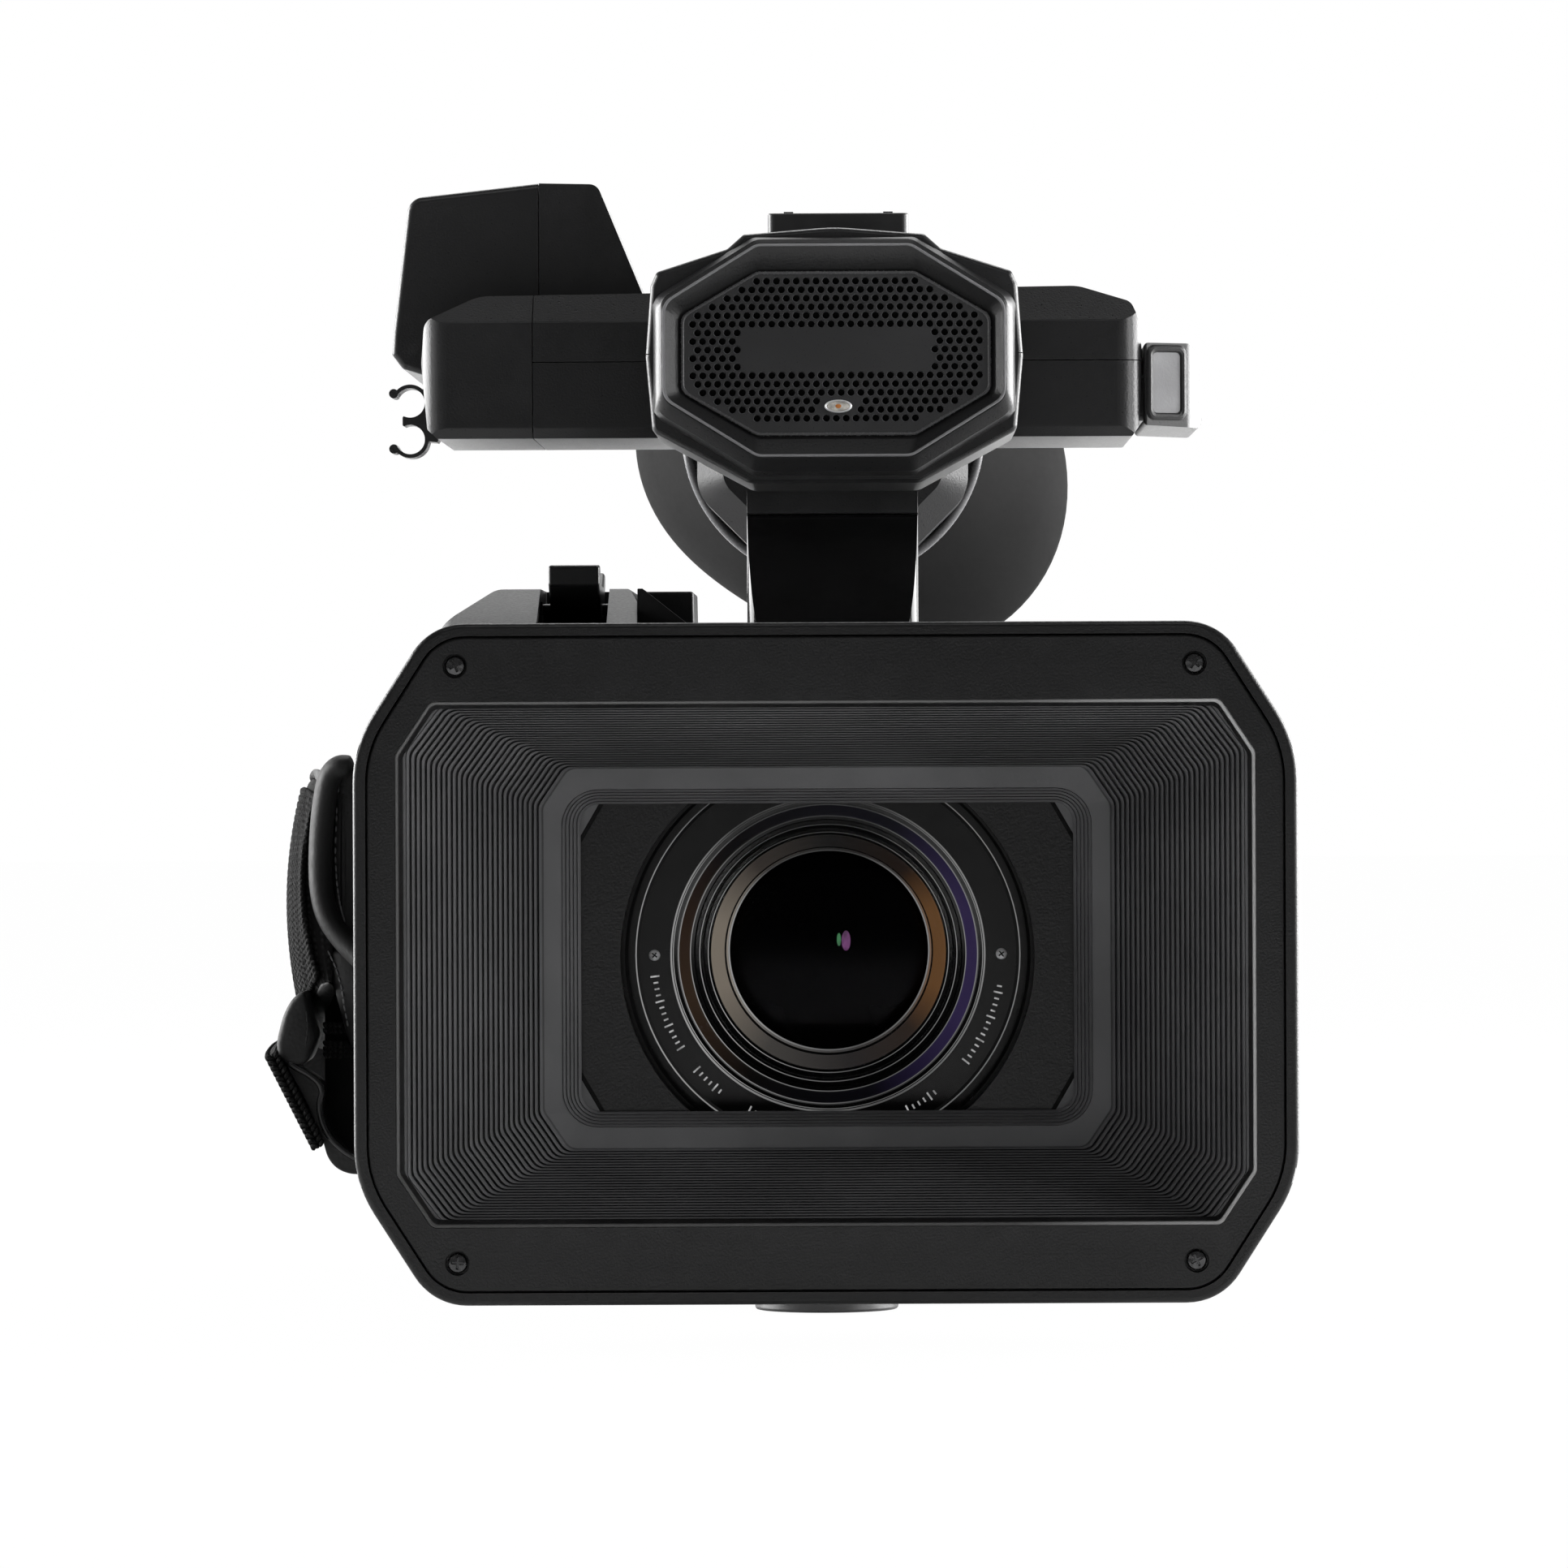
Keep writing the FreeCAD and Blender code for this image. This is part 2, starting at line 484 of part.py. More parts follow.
def left_controls():
    """Buttons, dials, ND switch and card door on the control side."""
    face = BODY_X[1]
    for name, (y, z) in BUTTON_SPOTS.items():
        profile = [(0, 0.2), (BUTTON_R + 0.9, 0.2), (BUTTON_R + 0.9, 1.4), (BUTTON_R, 1.4), (BUTTON_R, 4.3),
                   (BUTTON_R - 0.5, 4.8), (0, 4.8)]
        add(name, turned(profile, (face - 4, y, z), (1, 0, 0)))
    for name, (y, z) in DIAL_SPOTS.items():
        knob = turned([(0, 0), (1.54, 0), (1.54, 4.1), (5.6, 4.1), (5.6, 7.4), (5.0, 8.0), (0, 8.0)],
                      (face - 4, y, z), (1, 0, 0))
        mark = box(face + 3.5, face + 4.1, y - 0.35, y + 0.35, z + 1.5, z + 5.2)
        add(name, knob.cut(mark))
    y, z = JOG_SPOT
    profile = [(0, 0), (1.54, 0), (1.54, 4.1), (8.5, 4.1), (8.5, 6.4), (7.6, 7.2), (3.4, 7.2), (3.0, 6.6),
               (0, 6.6)]
    jog = turned(profile, (face - 4, y, z), (1, 0, 0))
    for i in range(24):
        angle = math.radians(15 * i)
        cy, cz = y + 8.8 * math.cos(angle), z + 8.8 * math.sin(angle)
        jog = jog.cut(rod(0.6, (face, cy, cz), (face + 4, cy, cz)))
    add("jog_dial", jog)
    slider = soft_box(face + 0.1, face + 3.2, 5.4, 10.6, 86.6, 93.4, 0.6)
    slider = slider.fuse(box(face - 4, face + 0.5, 6.6, 9.4, 88.6, 91.4))
    add("nd_switch", slider)
    y0, y1, z0, z1 = *CARD_Y, *CARD_Z
    door = prism([(y0, z0), (y1, z0), (y1, z1), (y0, z1)], [0.4, 0.4, 2, 2], "side", face - 1.9, face + 0.4)
    door = eased(door, 0.3, edges_at(door, "side", face + 0.4))
    grip = box(face - 0.4, face + 1, (y0 + y1) / 2 - 6, (y0 + y1) / 2 + 6, z1 - 5.4, z1 - 3)
    hinge_x, hinge_z = CARD_HINGE
    barrel = rod(HINGE_R, (hinge_x, y0, hinge_z), (hinge_x, y1, hinge_z))
    barrel = barrel.cut(rod(HINGE_PIN_R + SLIP, (hinge_x, y0 - 1, hinge_z), (hinge_x, y1 + 1, hinge_z)))
    gutter = rod(HINGE_R - 0.2, (hinge_x, y0 - 1, hinge_z), (hinge_x, y1 + 1, hinge_z))
    add("card_door", door.cut(grip).cut(gutter).fuse(barrel))
    slots = box(40, face - 3, y0 + 4, y1 - 4, z0 + 3, z1 - 3)
    for z in (z0 + 8, z0 + 19):
        slots = slots.cut(box(44, face, y0 + 8, y1 - 8, z, z + 2.4))
    add("card_slots", slots)


def grip_controls():
    """Zoom rocker on top of the grip; record button and power switch on its rear."""
    half = 4.55
    profile = [(-18, 124.4), (-18, 128), (-12.5, 128.2), (-6, 124.8), (6, 124.8), (12.5, 127.2), (17, 127),
               (17, 124.4), (10, 120.5), (5, 118.5), (-5, 118.5), (-10, 120.5)]
    points = [(ROCKER_Y + y, z) for y, z in profile]
    rocker = prism(points, [0.8] * len(points), "side", ROCKER_X - half, ROCKER_X + half)
    cheeks = edges_at(rocker, "side", ROCKER_X - half) + edges_at(rocker, "side", ROCKER_X + half)
    rocker = eased(rocker, 0.5, cheeks)
    pin = rod(1.0, (ROCKER_X - 7.6, ROCKER_Y, ROCKER_PIN_Z), (ROCKER_X + 7.6, ROCKER_Y, ROCKER_PIN_Z))
    add("zoom_rocker", rocker.fuse(pin))
    x, z = RECORD_AT
    rear = 112.0
    bore, rim = RECORD_R + SLIP, 8.8
    profile = [(bore, 0.1), (rim, 0.1), (rim, 2.0), (rim - 0.6, 2.6), (bore + 0.6, 2.6), (bore, 2.0)]
    ring = turned(profile, (x, rear, z), (0, 1, 0))
    thumb = soft_box(x - 1.6, x + 1.6, rear + 0.3, rear + 3.4, z + 7.2, z + 11.8, 0.5)
    add("power_switch", ring.fuse(thumb))
    profile = [(0, 0), (RECORD_R, 0), (RECORD_R, 12.2), (RECORD_R - 0.7, 12.9), (3.2, 12.6), (0, 12.4)]
    add("record_button", turned(profile, (x, rear - 9, z), (0, 1, 0)))


def body_inside():
    """Chassis, main board with its heat sink, and cooling fan."""
    plate = box(-36, 48, -6, 112, 8.4, 10.4)
    wall = box(-40, 52, -4, -2, 8.4, 106)
    room = body_form(WALL + 0.2)
    chassis = plate.fuse(wall).common(room).cut(rod(36.1, (0, -10, LENS_Z), (0, 0, LENS_Z)))
    for x, y in BASE_SCREWS:
        chassis = chassis.cut(rod(1.25, (x, y, 5), (x, y, 12)))
    chassis = chassis.cut(rod(4.6, (0, 0, 5), (0, 0, 12)))
    add("chassis", chassis)
    board = box(-32, -30.4, 34, 110, 16, 104)
    for y, z, size in ((60, 44, 16), (86, 40, 12), (50, 80, 10)):
        board = board.fuse(box(-30.4, -28.8, y - size / 2, y + size / 2, z - size / 2, z + size / 2))
    sink = box(-27, -24.5, 58, 102, 60, 100)
    for i in range(9):
        sink = sink.fuse(box(-24.5, -12, 60 + 5 * i, 61.2 + 5 * i, 60, 100))
    add("main_board", board.fuse([sink, box(-30.5, -27, 62, 72, 62, 72)]))
    cy, cz = 73.0, 79.0
    frame = box(40, 50, cy - 20, cy + 20, cz - 17.5, cz + 20)
    frame = frame.cut(rod(16.6, (39, cy, cz), (51, cy, cz)))
    spokes = [box(40, 41.2, cy - 17, cy + 17, cz - 1, cz + 1), rod(1.4, (40, cy, cz), (46, cy, cz))]
    add("fan_frame", frame.fuse(spokes))
    rotor = rod(6.5, (42, cy, cz), (49, cy, cz)).cut(rod(1.46, (41, cy, cz), (47, cy, cz)))
    for i in range(7):
        blade = box(43, 48.5, cy - 0.5, cy + 0.5, cz + 6, cz + 15.8)
        blade.rotate(Vector(45.7, cy, cz + 10), Vector(0, 0, 1), 28)
        blade.rotate(Vector(0, cy, cz), Vector(1, 0, 0), 360 * i / 7)
        rotor = rotor.fuse(blade)
    add("fan_rotor", rotor.common(rod(16.0, (41, cy, cz), (50, cy, cz))))


# Rear and base.
BATTERY = (-20.0, 27.0, 121.1, 160.0, 26.0, 98.0)


def rear_panel():
    """Battery mount plate with rails, sockets and a terminal flap; battery and its release."""
    y0, y1 = BODY_Y[1] + 0.02, BODY_Y[1] + 4.0
    plate = soft_prism(body_outline(1.0), 6.0, "front", y0, y1, 1.0, ("high",))
    x0, x1, by0, by1, z0, z1 = BATTERY
    recess = box(x0 - 0.4, x1 + 0.4, y1 - 1.0, y1 + 1, z0 - 0.4, BODY_Z[1] + 1)
    plate = plate.cut(recess)
    for z in (40, 66):
        for x in (x0 + 8, x1 - 8):
            stem = box(x - 1.2, x + 1.2, y1 - 1.1, by0 + 1.1, z, z + 6)
            hook = box(x - 2.6, x + 2.6, by0 + 1.1, by0 + 2.4, z, z + 6)
            plate = plate.fuse(stem.fuse(hook))
    for z in (78, 62):
        plate = plate.cut(rod(4.2, (43, y1 - 2.4, z), (43, y1 + 1, z)))
        plate = plate.fuse(turned([(2.2, 0), (3.5, 0), (3.5, 6), (2.2, 6)], (43, y1 - 2.4, z), (0, 1, 0)))
    plate = plate.cut(rod(2.05, (x1 + 6, y0 - 1, 92), (x1 + 6, y1 + 1, 92)))
    hx, hy = FLAP_HINGE
    for z in (FLAP_Z[0] - 2.2, FLAP_Z[1] + 0.2):
        lug = rod(HINGE_R, (hx, hy, z), (hx, hy, z + 2))
        plate = plate.fuse(lug.fuse(box(hx - HINGE_R, hx + HINGE_R, y1 - 1, hy, z, z + 2)))
    plate = plate.fuse(rod(HINGE_PIN_R, (hx, hy, FLAP_Z[0] - 1), (hx, hy, FLAP_Z[1] + 1)))
    add("rear_panel", plate)
    (fx0, fx1), (fz0, fz1), (hx, hy) = FLAP_X, FLAP_Z, FLAP_HINGE
    corners = [(fx0, fz0), (fx1, fz0), (fx1, fz1), (fx0, fz1)]
    flap = prism(corners, [2, 0.3, 0.3, 2], "front", y1 + 0.05, y1 + 2.2)
    flap = eased(flap, 0.4, edges_at(flap, "front", y1 + 2.2))
    flap = flap.cut(box(fx0 + 1.5, fx0 + 3.2, y1 + 1.6, y1 + 2.3, 34, 42))
    flap = flap.cut(rod(HINGE_R - 0.2, (hx, hy, fz0 - 1), (hx, hy, fz1 + 1)))
    barrel = rod(HINGE_R, (hx, hy, fz0), (hx, hy, fz1)).cut(rod(HINGE_PIN_R + SLIP, (hx, hy, 0), (hx, hy, 90)))
    add("terminal_flap", flap.fuse(barrel))
    release = turned([(0, 0), (2.0, 0), (2.0, 4.0), (1.6, 4.4), (0, 4.4)], (x1 + 6, y1 - 2.8, 92), (0, 1, 0))
    add("battery_release", release)
    case = soft_prism([(x0, by0), (x1, by0), (x1, by1), (x0, by1)], [0.8, 0.8, 6, 6], "plan", z0, z1, 0.7)
    for x in (x0 + 8, x1 - 8):
        case = case.cut(box(x - 1.5, x + 1.5, by0 - 1, by0 + 2.6, z0 - 1, 74))
        case = case.cut(box(x - 3.0, x + 3.0, by0 + 0.9, by0 + 2.6, z0 - 1, 74))
    grooves = [box(x0 - 1, x0 + 0.5, by0 + 8, by1 - 9, 84 + 3 * i, 85.2 + 3 * i) for i in range(3)]
    grooves += [mirrored(g, (x0 + x1) / 2) for g in grooves]
    add("battery", case.cut(grooves[0].fuse(grooves[1:])))


def base():
    """Metal base plate with a round-nosed tongue under the lens, its screws and a rubber pad."""
    tongue_half, tongue_x, tip = 12.15, -0.65, -66.0
    bend_y = tip + tongue_half
    tongue = box(tongue_x - tongue_half, tongue_x + tongue_half, bend_y, 10, 0, 5.6)
    tongue = tongue.fuse(rod(tongue_half, (tongue_x, bend_y, 0), (tongue_x, bend_y, 5.6)))
    pad = [(-26, -14), (38, -14), (38, 68), (-26, 68)]
    plate = tongue.fuse(prism(pad, 6.0, "plan", 0, 5.6)).removeSplitter()
    plate = eased(plate, 0.5, edges_at(plate, "plan", 0))
    plate = plate.fuse(box(-20, 32, -12, 60, 5.6, 5.98))
    plate = plate.cut(rod(3.175, (0, 0, -1), (0, 0, 5.3)))
    plate = plate.cut(rod(2.3, (0, -14, -1), (0, -14, 4.6)))
    screws = []
    for x, y in BASE_SCREWS:
        plate = plate.cut(rod(1.55, (x, y, -1), (x, y, 8))).cut(rod(2.9, (x, y, -1), (x, y, 1.9)))
        head = turned([(0, 0.3), (2.3, 0.3), (2.7, 0.6), (2.7, 1.85), (1.2, 1.85), (1.2, 10.3), (0, 10.3)],
                      (x, y, 0), (0, 0, 1))
        for long_u, long_v in ((3.2, 0.6), (0.6, 3.2)):
            head = head.cut(box(x - long_u / 2, x + long_u / 2, y - long_v / 2, y + long_v / 2, 0, 1.2))
        screws.append(head)
    add("base_plate", plate)
    add("base_screws", *screws)


# Handle.
WING_X = (-69.0, 53.8)
WING_SILHOUETTE = [(-66.2, 148.0), (51.9, 148.0), (53.0, 149.6), (53.8, 160.9), (53.1, 167.8), (51.8, 171.0),
                   (42.8, 173.9), (-59.3, 172.4), (-68.4, 167.9), (-69.0, 160.9), (-67.9, 149.6)]
WING_RADII = [0.5, 0.5, 0.5, 0.3, 1.5, 2.0, 8.0, 8.0, 2.5, 0.3, 0.5]
WING_Y = (-55.0, 5.0)
WING_SIDE = [(-53.4, 148.0), (5.0, 148.0), (5.0, 176.0), (-45.5, 176.0), (-55.0, 167.7), (-55.0, 149.7)]
NOSE_SILHOUETTE = [(-12.7, 139.3), (15.6, 139.3), (31.8, 148.0), (32.9, 160.4), (32.0, 172.3), (31.0, 174.6),
                   (19.2, 178.4), (16.5, 180.8), (1.45, 182.0), (-13.6, 180.8), (-16.3, 178.4), (-28.1, 174.6),
                   (-29.1, 172.3), (-30.0, 160.4), (-28.9, 148.0)]
NOSE_RADII = [3, 3, 1.5, 0.5, 1, 1, 1, 1, 30, 1, 1, 1, 1, 0.5, 1.5]
BEZEL = octagon(56.6, 35.0, 15.5, 9.6, (NOSE_X, 161.3))
GRILLE = octagon(51.0, 26.8, 12.4, 7.2, (NOSE_X + 0.3, 160.8))
SHOE_X, SHOE_Y, SHOE_Z = NOSE_X + 0.67, (-66.0, -46.0), 181.36
SHOE_HALF = 11.85
LCD_SLOT = (-36.0, 60.0, -51.5, 1.5, 150.3, 158.7)
FRONT_LEG_TOP = 136.0
TOP_ROCKER_Y = -13.0
TOP_ROCKER_PIN_Z = 177.6


def wing_form(shrink):
    """Cross bar under and beside the nose, with rounded front corners and bevels above and below its face."""
    front = prism(inset(WING_SILHOUETTE, shrink), [max(r - shrink, 0.2) for r in WING_RADII], "front", -60, 10)
    x0, x1, (y0, y1) = WING_X[0] + shrink, WING_X[1] - shrink, (WING_Y[0] + shrink, WING_Y[1] - shrink)
    radius = max(4.5 - shrink, 1.0)
    plan = prism([(x0, y0), (x1, y0), (x1, y1), (x0, y1)], radius, "plan", 140, 190)
    side = prism(inset(WING_SIDE, shrink), max(0.4 - shrink, 0.1), "side", -80, 80)
    return front.common(plan).common(side)


def bar_form(shrink):
    """Carrying bar: a rounded cross-section crossed with a side silhouette."""
    section = [(-12.5, 150), (15.4, 150), (17.2, 166), (13, 181), (-10, 181), (-14.3, 166)]
    sides = [(-44, 150), (-2, 150), (28, 157), (96, 157), (110, 150), (129, 150), (131, 164), (128, 174),
             (60, 179.5), (-44, 180.8)]
    across = prism(inset(section, shrink), max(6.5 - shrink, 1.5), "front", -50, 140)
    bends = [max(r - shrink, 0.5) for r in (1, 10, 14, 14, 10, 3, 6, 8, 60, 1)]
    along = prism(inset(sides, shrink), bends, "side", -20, 24)
    return across.common(along)


def nose_form(shrink, front=-84.0, back=-40.0):
    """Housing of the microphones."""
    points = inset(NOSE_SILHOUETTE, shrink)
    return prism(points, [max(r - shrink, 0.3) for r in NOSE_RADII], "front", front + shrink, back - shrink)


def leg(points, radius, section):
    """Handle leg from a side silhouette and a plan section."""
    return prism(points, radius, "side", -20, 24).common(prism(section, 3.0, "plan", 100, 160))


def handle_shells():
    """Upper and lower handle shells with the monitor slot, the legs and the sprung controls' openings."""
    nose = nose_form(0.0)
    nose = eased(nose, 1.2, edges_at(nose, "front", -84.0))
    form = wing_form(0.0).fuse([nose, bar_form(0.0)])
    front_section = [(-14.3, -12), (15.6, -12), (15.6, 26), (-14.3, 26)]
    rear_section = [(-12.5, 96), (15.4, 96), (15.4, 124), (-12.5, 124)]
    stub_z = FRONT_LEG_TOP + GAP
    stub = leg([(-9.5, stub_z), (22, stub_z), (21, 154), (-8, 154)], 0.5, front_section)
    rear_leg = leg([(99, 114.02), (121, 114.02), (124, 156), (98, 156)], 1.0, rear_section)
    column = leg([(-12, 114.02), (25, 114.02), (22, FRONT_LEG_TOP), (-9.5, FRONT_LEG_TOP)], 0.5, front_section)
    column = column.cut(box(-8, 10, -4, 14, 113, FRONT_LEG_TOP - 3))
    add("handle_front_leg", column)
    form = form.fuse([stub, rear_leg, audio_form(0.0)]).removeSplitter()
    form = form.cut(box(-90, AUDIO_X + GAP, -60, 60, 140, 200))
    hollow = wing_form(WALL).fuse(nose_form(WALL, -90, -38)).common(box(AUDIO_X + 3, 80, -100, 3, 140, 190))
    lower_hollow = hollow.common(box(-90, 90, -100, -42, 140, 149)).fuse(box(*LCD_SLOT))
    upper_hollow = hollow.common(box(-90, 90, -100, 10, SEAM_Z - 1, 190))
    upper_hollow = upper_hollow.fuse(audio_form(WALL).common(box(AUDIO_X - 1, -20, -40, 60, SEAM_Z - 1, 200)))
    upper_hollow = upper_hollow.fuse(bar_form(WALL).common(box(-20, 24, -42, 118, SEAM_Z - 1, 190)))
    mouth = prism(inset(GRILLE, -1.2), 2.0, "front", -90, -80)
    lower = form.common(box(-90, 90, -90, 140, 100, SEAM_Z - GAP / 2)).cut(lower_hollow).cut(mouth)
    nose_room = inset(NOSE_SILHOUETTE, 3.0)
    lower = lower.cut(prism(nose_room, 0.4, "front", -82, -57).common(box(-40, 40, -90, -50, 138, 162)))
    upper = form.common(box(-90, 90, -90, 140, SEAM_Z + GAP / 2, 200)).cut(upper_hollow).cut(mouth)
    upper = upper.cut(box(NOSE_X - 5.3, NOSE_X + 5.3, TOP_ROCKER_Y - 12.2, TOP_ROCKER_Y + 12.2, 170, 190))
    for x in (NOSE_X - 6.9, NOSE_X + 5.3):
        upper = upper.fuse(box(x, x + 1.6, TOP_ROCKER_Y - 2, TOP_ROCKER_Y + 2, 176, 179.6))
    pin_start = (NOSE_X - 8, TOP_ROCKER_Y, TOP_ROCKER_PIN_Z)
    pin_end = (NOSE_X + 8, TOP_ROCKER_Y, TOP_ROCKER_PIN_Z)
    upper = upper.cut(rod(0.8 + SLIP, pin_start, pin_end))
    upper = upper.cut(rod(4.1, (NOSE_X, 8, 170), (NOSE_X, 8, 190)))
    (y0, y1), seat = SHOE_Y, SHOE_HALF + 0.1
    upper = upper.cut(box(SHOE_X - seat, SHOE_X + seat, y0 - 0.1, y1 + 0.1, SHOE_Z - 0.02, 190))
    add("handle_upper_shell", upper.removeSplitter())
    add("handle_lower_shell", lower.removeSplitter())


def handle_controls():
    """Zoom rocker and record button on the top of the handle."""
    half, middle, pin_z = 5.1, TOP_ROCKER_Y, TOP_ROCKER_PIN_Z
    profile = [(-11, 179.6), (-11, 183.4), (-7, 183.6), (-2.5, 181.4), (2.5, 181.4), (7, 183.6), (11, 183.4),
               (11, 179.6), (4, 175.4), (-4, 175.4)]
    points = [(middle + y, z) for y, z in profile]
    rocker = prism(points, 0.7, "side", NOSE_X - half, NOSE_X + half)
    cheeks = edges_at(rocker, "side", NOSE_X - half) + edges_at(rocker, "side", NOSE_X + half)
    pin = rod(0.8, (NOSE_X - 6.5, middle, pin_z), (NOSE_X + 6.5, middle, pin_z))
    add("handle_zoom_rocker", eased(rocker, 0.4, cheeks).fuse(pin))
    button = turned([(0, 0), (4.0, 0), (4.0, 7.4), (3.4, 8.0), (0, 7.7)], (NOSE_X, 8, 174), (0, 0, 1))
    add("handle_record_button", button)


def microphone():
    """Bezel, grille plate with the two capsules behind it, and tally lamp."""
    front, back = -88.0, -84.02
    bezel = prism(octagon(59.4, 38.6, 15.8, 10.2, (NOSE_X, 160.6)), [4.0] * 8, "front", front, back)
    bezel = eased(bezel, 1.4, edges_at(bezel, "front", front))
    opening = loft([(BEZEL, 3.0, front - 1), (inset(GRILLE, -0.6), 2.0, front + 2.4)], "front")
    bezel = bezel.cut(opening).cut(prism(inset(GRILLE, -0.3), 2.0, "front", front, back + 1))
    add("mic_bezel", bezel)
    grille = prism(GRILLE, 2.0, "front", front + 1.6, front + 3.0)
    lamp_x, lamp_z = NOSE_X + 0.1, 151.6
    lamp = prism(octagon(4.0, 2.0, 1.0, 0.9, (lamp_x, lamp_z)), 0.2, "front", front + 1.4, front + 4.4)
    grille = grille.cut(prism(octagon(4.2, 2.2, 1.0, 0.9, (lamp_x, lamp_z)), 0.2, "front", front, front + 6))
    capsules = [rod(5, (x, front + 2.9, 161.5), (x, front + 15, 161.5)) for x in (NOSE_X - 14, NOSE_X + 14)]
    add("mic_grille", grille.fuse(capsules))
    add("tally_lamp", lamp)


def accessory_shoe():
    """Metal shoe let into the nose and open to the rear, with a spring nib on each lip."""
    (y0, y1), z, top = SHOE_Y, SHOE_Z, SHOE_Z + 4.0
    slot_half = 9.35
    shoe = box(SHOE_X - SHOE_HALF, SHOE_X + SHOE_HALF, y0, y1, z, top)
    shoe = shoe.cut(box(SHOE_X - slot_half, SHOE_X + slot_half, y0 + 1.6, y1 + 1, z + 1.1, z + 3.2))
    shoe = shoe.cut(box(SHOE_X - 6.3, SHOE_X + 6.3, y0 + 1.6, y1 + 1, z + 2, z + 5))
    verticals = [e for e in shoe.Edges if abs(e.tangentAt(e.FirstParameter).z) > 0.99 and e.Length > 3.9]
    shoe = eased(shoe, 1.2, verticals)
    shoe = eased(shoe, 0.3, edges_at(shoe, "plan", top))
    for x in (SHOE_X - 9.2, SHOE_X + 7.6):
        shoe = shoe.fuse(box(x, x + 1.6, y0 + 3, y0 + 9, top - 0.4, top + 0.4))
    add("accessory_shoe", shoe)


def monitor():
    """Sliding monitor: panel with its pull block, and the screen glass on its underside."""
    x0, x1, y0, y1, z0, z1 = -33.0, 53.3, -50.5, 0.5, 150.7, 158.3
    panel = prism([(y0, z0), (y1, z0), (y1, z1), (y0, z1)], 1.5, "side", x0, x1 + 1)
    panel = panel.cut(box(x0 + 6, x1 - 10, y0 + 4, y1 - 4, z0 - 1, z0 + 1.0))
    face_y, left = y0 - 2.5, 53.9
    block = prism([(left, 149.9), (63.7, 149.5), (64.0, 151.0), (63.3, 162.0), (61.9, 163.9), (left, 163.9)],
                  [0.6, 1.0, 0.6, 0.8, 1.2, 0.8], "front", face_y, y1)
    raked = [(left, face_y), (61.6, face_y + 4.2), (64.1, face_y + 8.0), (64.1, y1), (left, y1)]
    block = block.common(prism(raked, [0.4, 2.5, 2.0, 0.5, 0.5], "plan", 140, 170))
    rims = []
    for edge in block.Edges:
        room = edge.BoundBox
        if room.YMax < face_y + 7 and room.ZLength < 0.5 < room.XLength:
            rims.append(edge)
    panel = panel.fuse(eased(block, 1.0, rims))
    add("monitor_panel", panel)
    add("monitor_screen", box(x0 + 6.05, x1 - 10.05, y0 + 4.05, y1 - 4.05, z0 + 0.25, z0 + 0.98))


# Audio end.
AUDIO_SILHOUETTE = [(-31.9, 173.8), (-39.8, 193.0), (-50.0, 193.2), (-72.4, 190.7), (-75.2, 167.0),
                    (-75.4, 163.6), (-73.6, 161.2), (-66.0, 158.8), (-40.0, 158.8)]
AUDIO_RADII = [0.5, 2.0, 0.3, 3.0, 0.6, 0.6, 1.2, 0.6, 0.5]
AUDIO_Y = (-25.0, 45.0)


def audio_form(shrink):
    """Volume of the audio box behind the left wing."""
    radii = [max(r - shrink, 0.2) for r in AUDIO_RADII]
    return prism(inset(AUDIO_SILHOUETTE, shrink), radii, "front", AUDIO_Y[0] + shrink, AUDIO_Y[1] - shrink)


def audio_cover():
    """Outer cover, which also wraps the wing's end, and the two round sockets recessed in its side."""
    whole = audio_form(0.0)
    whole = eased(whole, 1.0, edges_at(whole, "front", AUDIO_Y[0]) + edges_at(whole, "front", AUDIO_Y[1]))
    cover = whole.fuse(wing_form(0.0)).common(box(-90, AUDIO_X, -60, 60, 140, 200))
    cover = cover.cut(audio_form(WALL)).cut(wing_form(WALL))
    socket_r, z = 8.5, 176.0
    sockets = []
    for y in (8.0, 31.0):
        cover = cover.cut(rod(socket_r + 0.1, (-80, y, z), (-70, y, z)))
        profile = [(0, 0), (socket_r, 0), (socket_r, 20), (socket_r - 1.1, 20), (socket_r - 1.1, 12), (0, 12)]
        shell = turned(profile, (-53, y, z), (-1, 0, 0))
        for angle in (90, 210, 330):
            py, pz = y + 3.6 * math.cos(math.radians(angle)), z + 3.6 * math.sin(math.radians(angle))
            shell = shell.fuse(rod(0.9, (-64, py, pz), (-71, py, pz)))
        sockets.append(shell)
    add("audio_cover", cover.removeSplitter())
    add("xlr_sockets", *sockets)


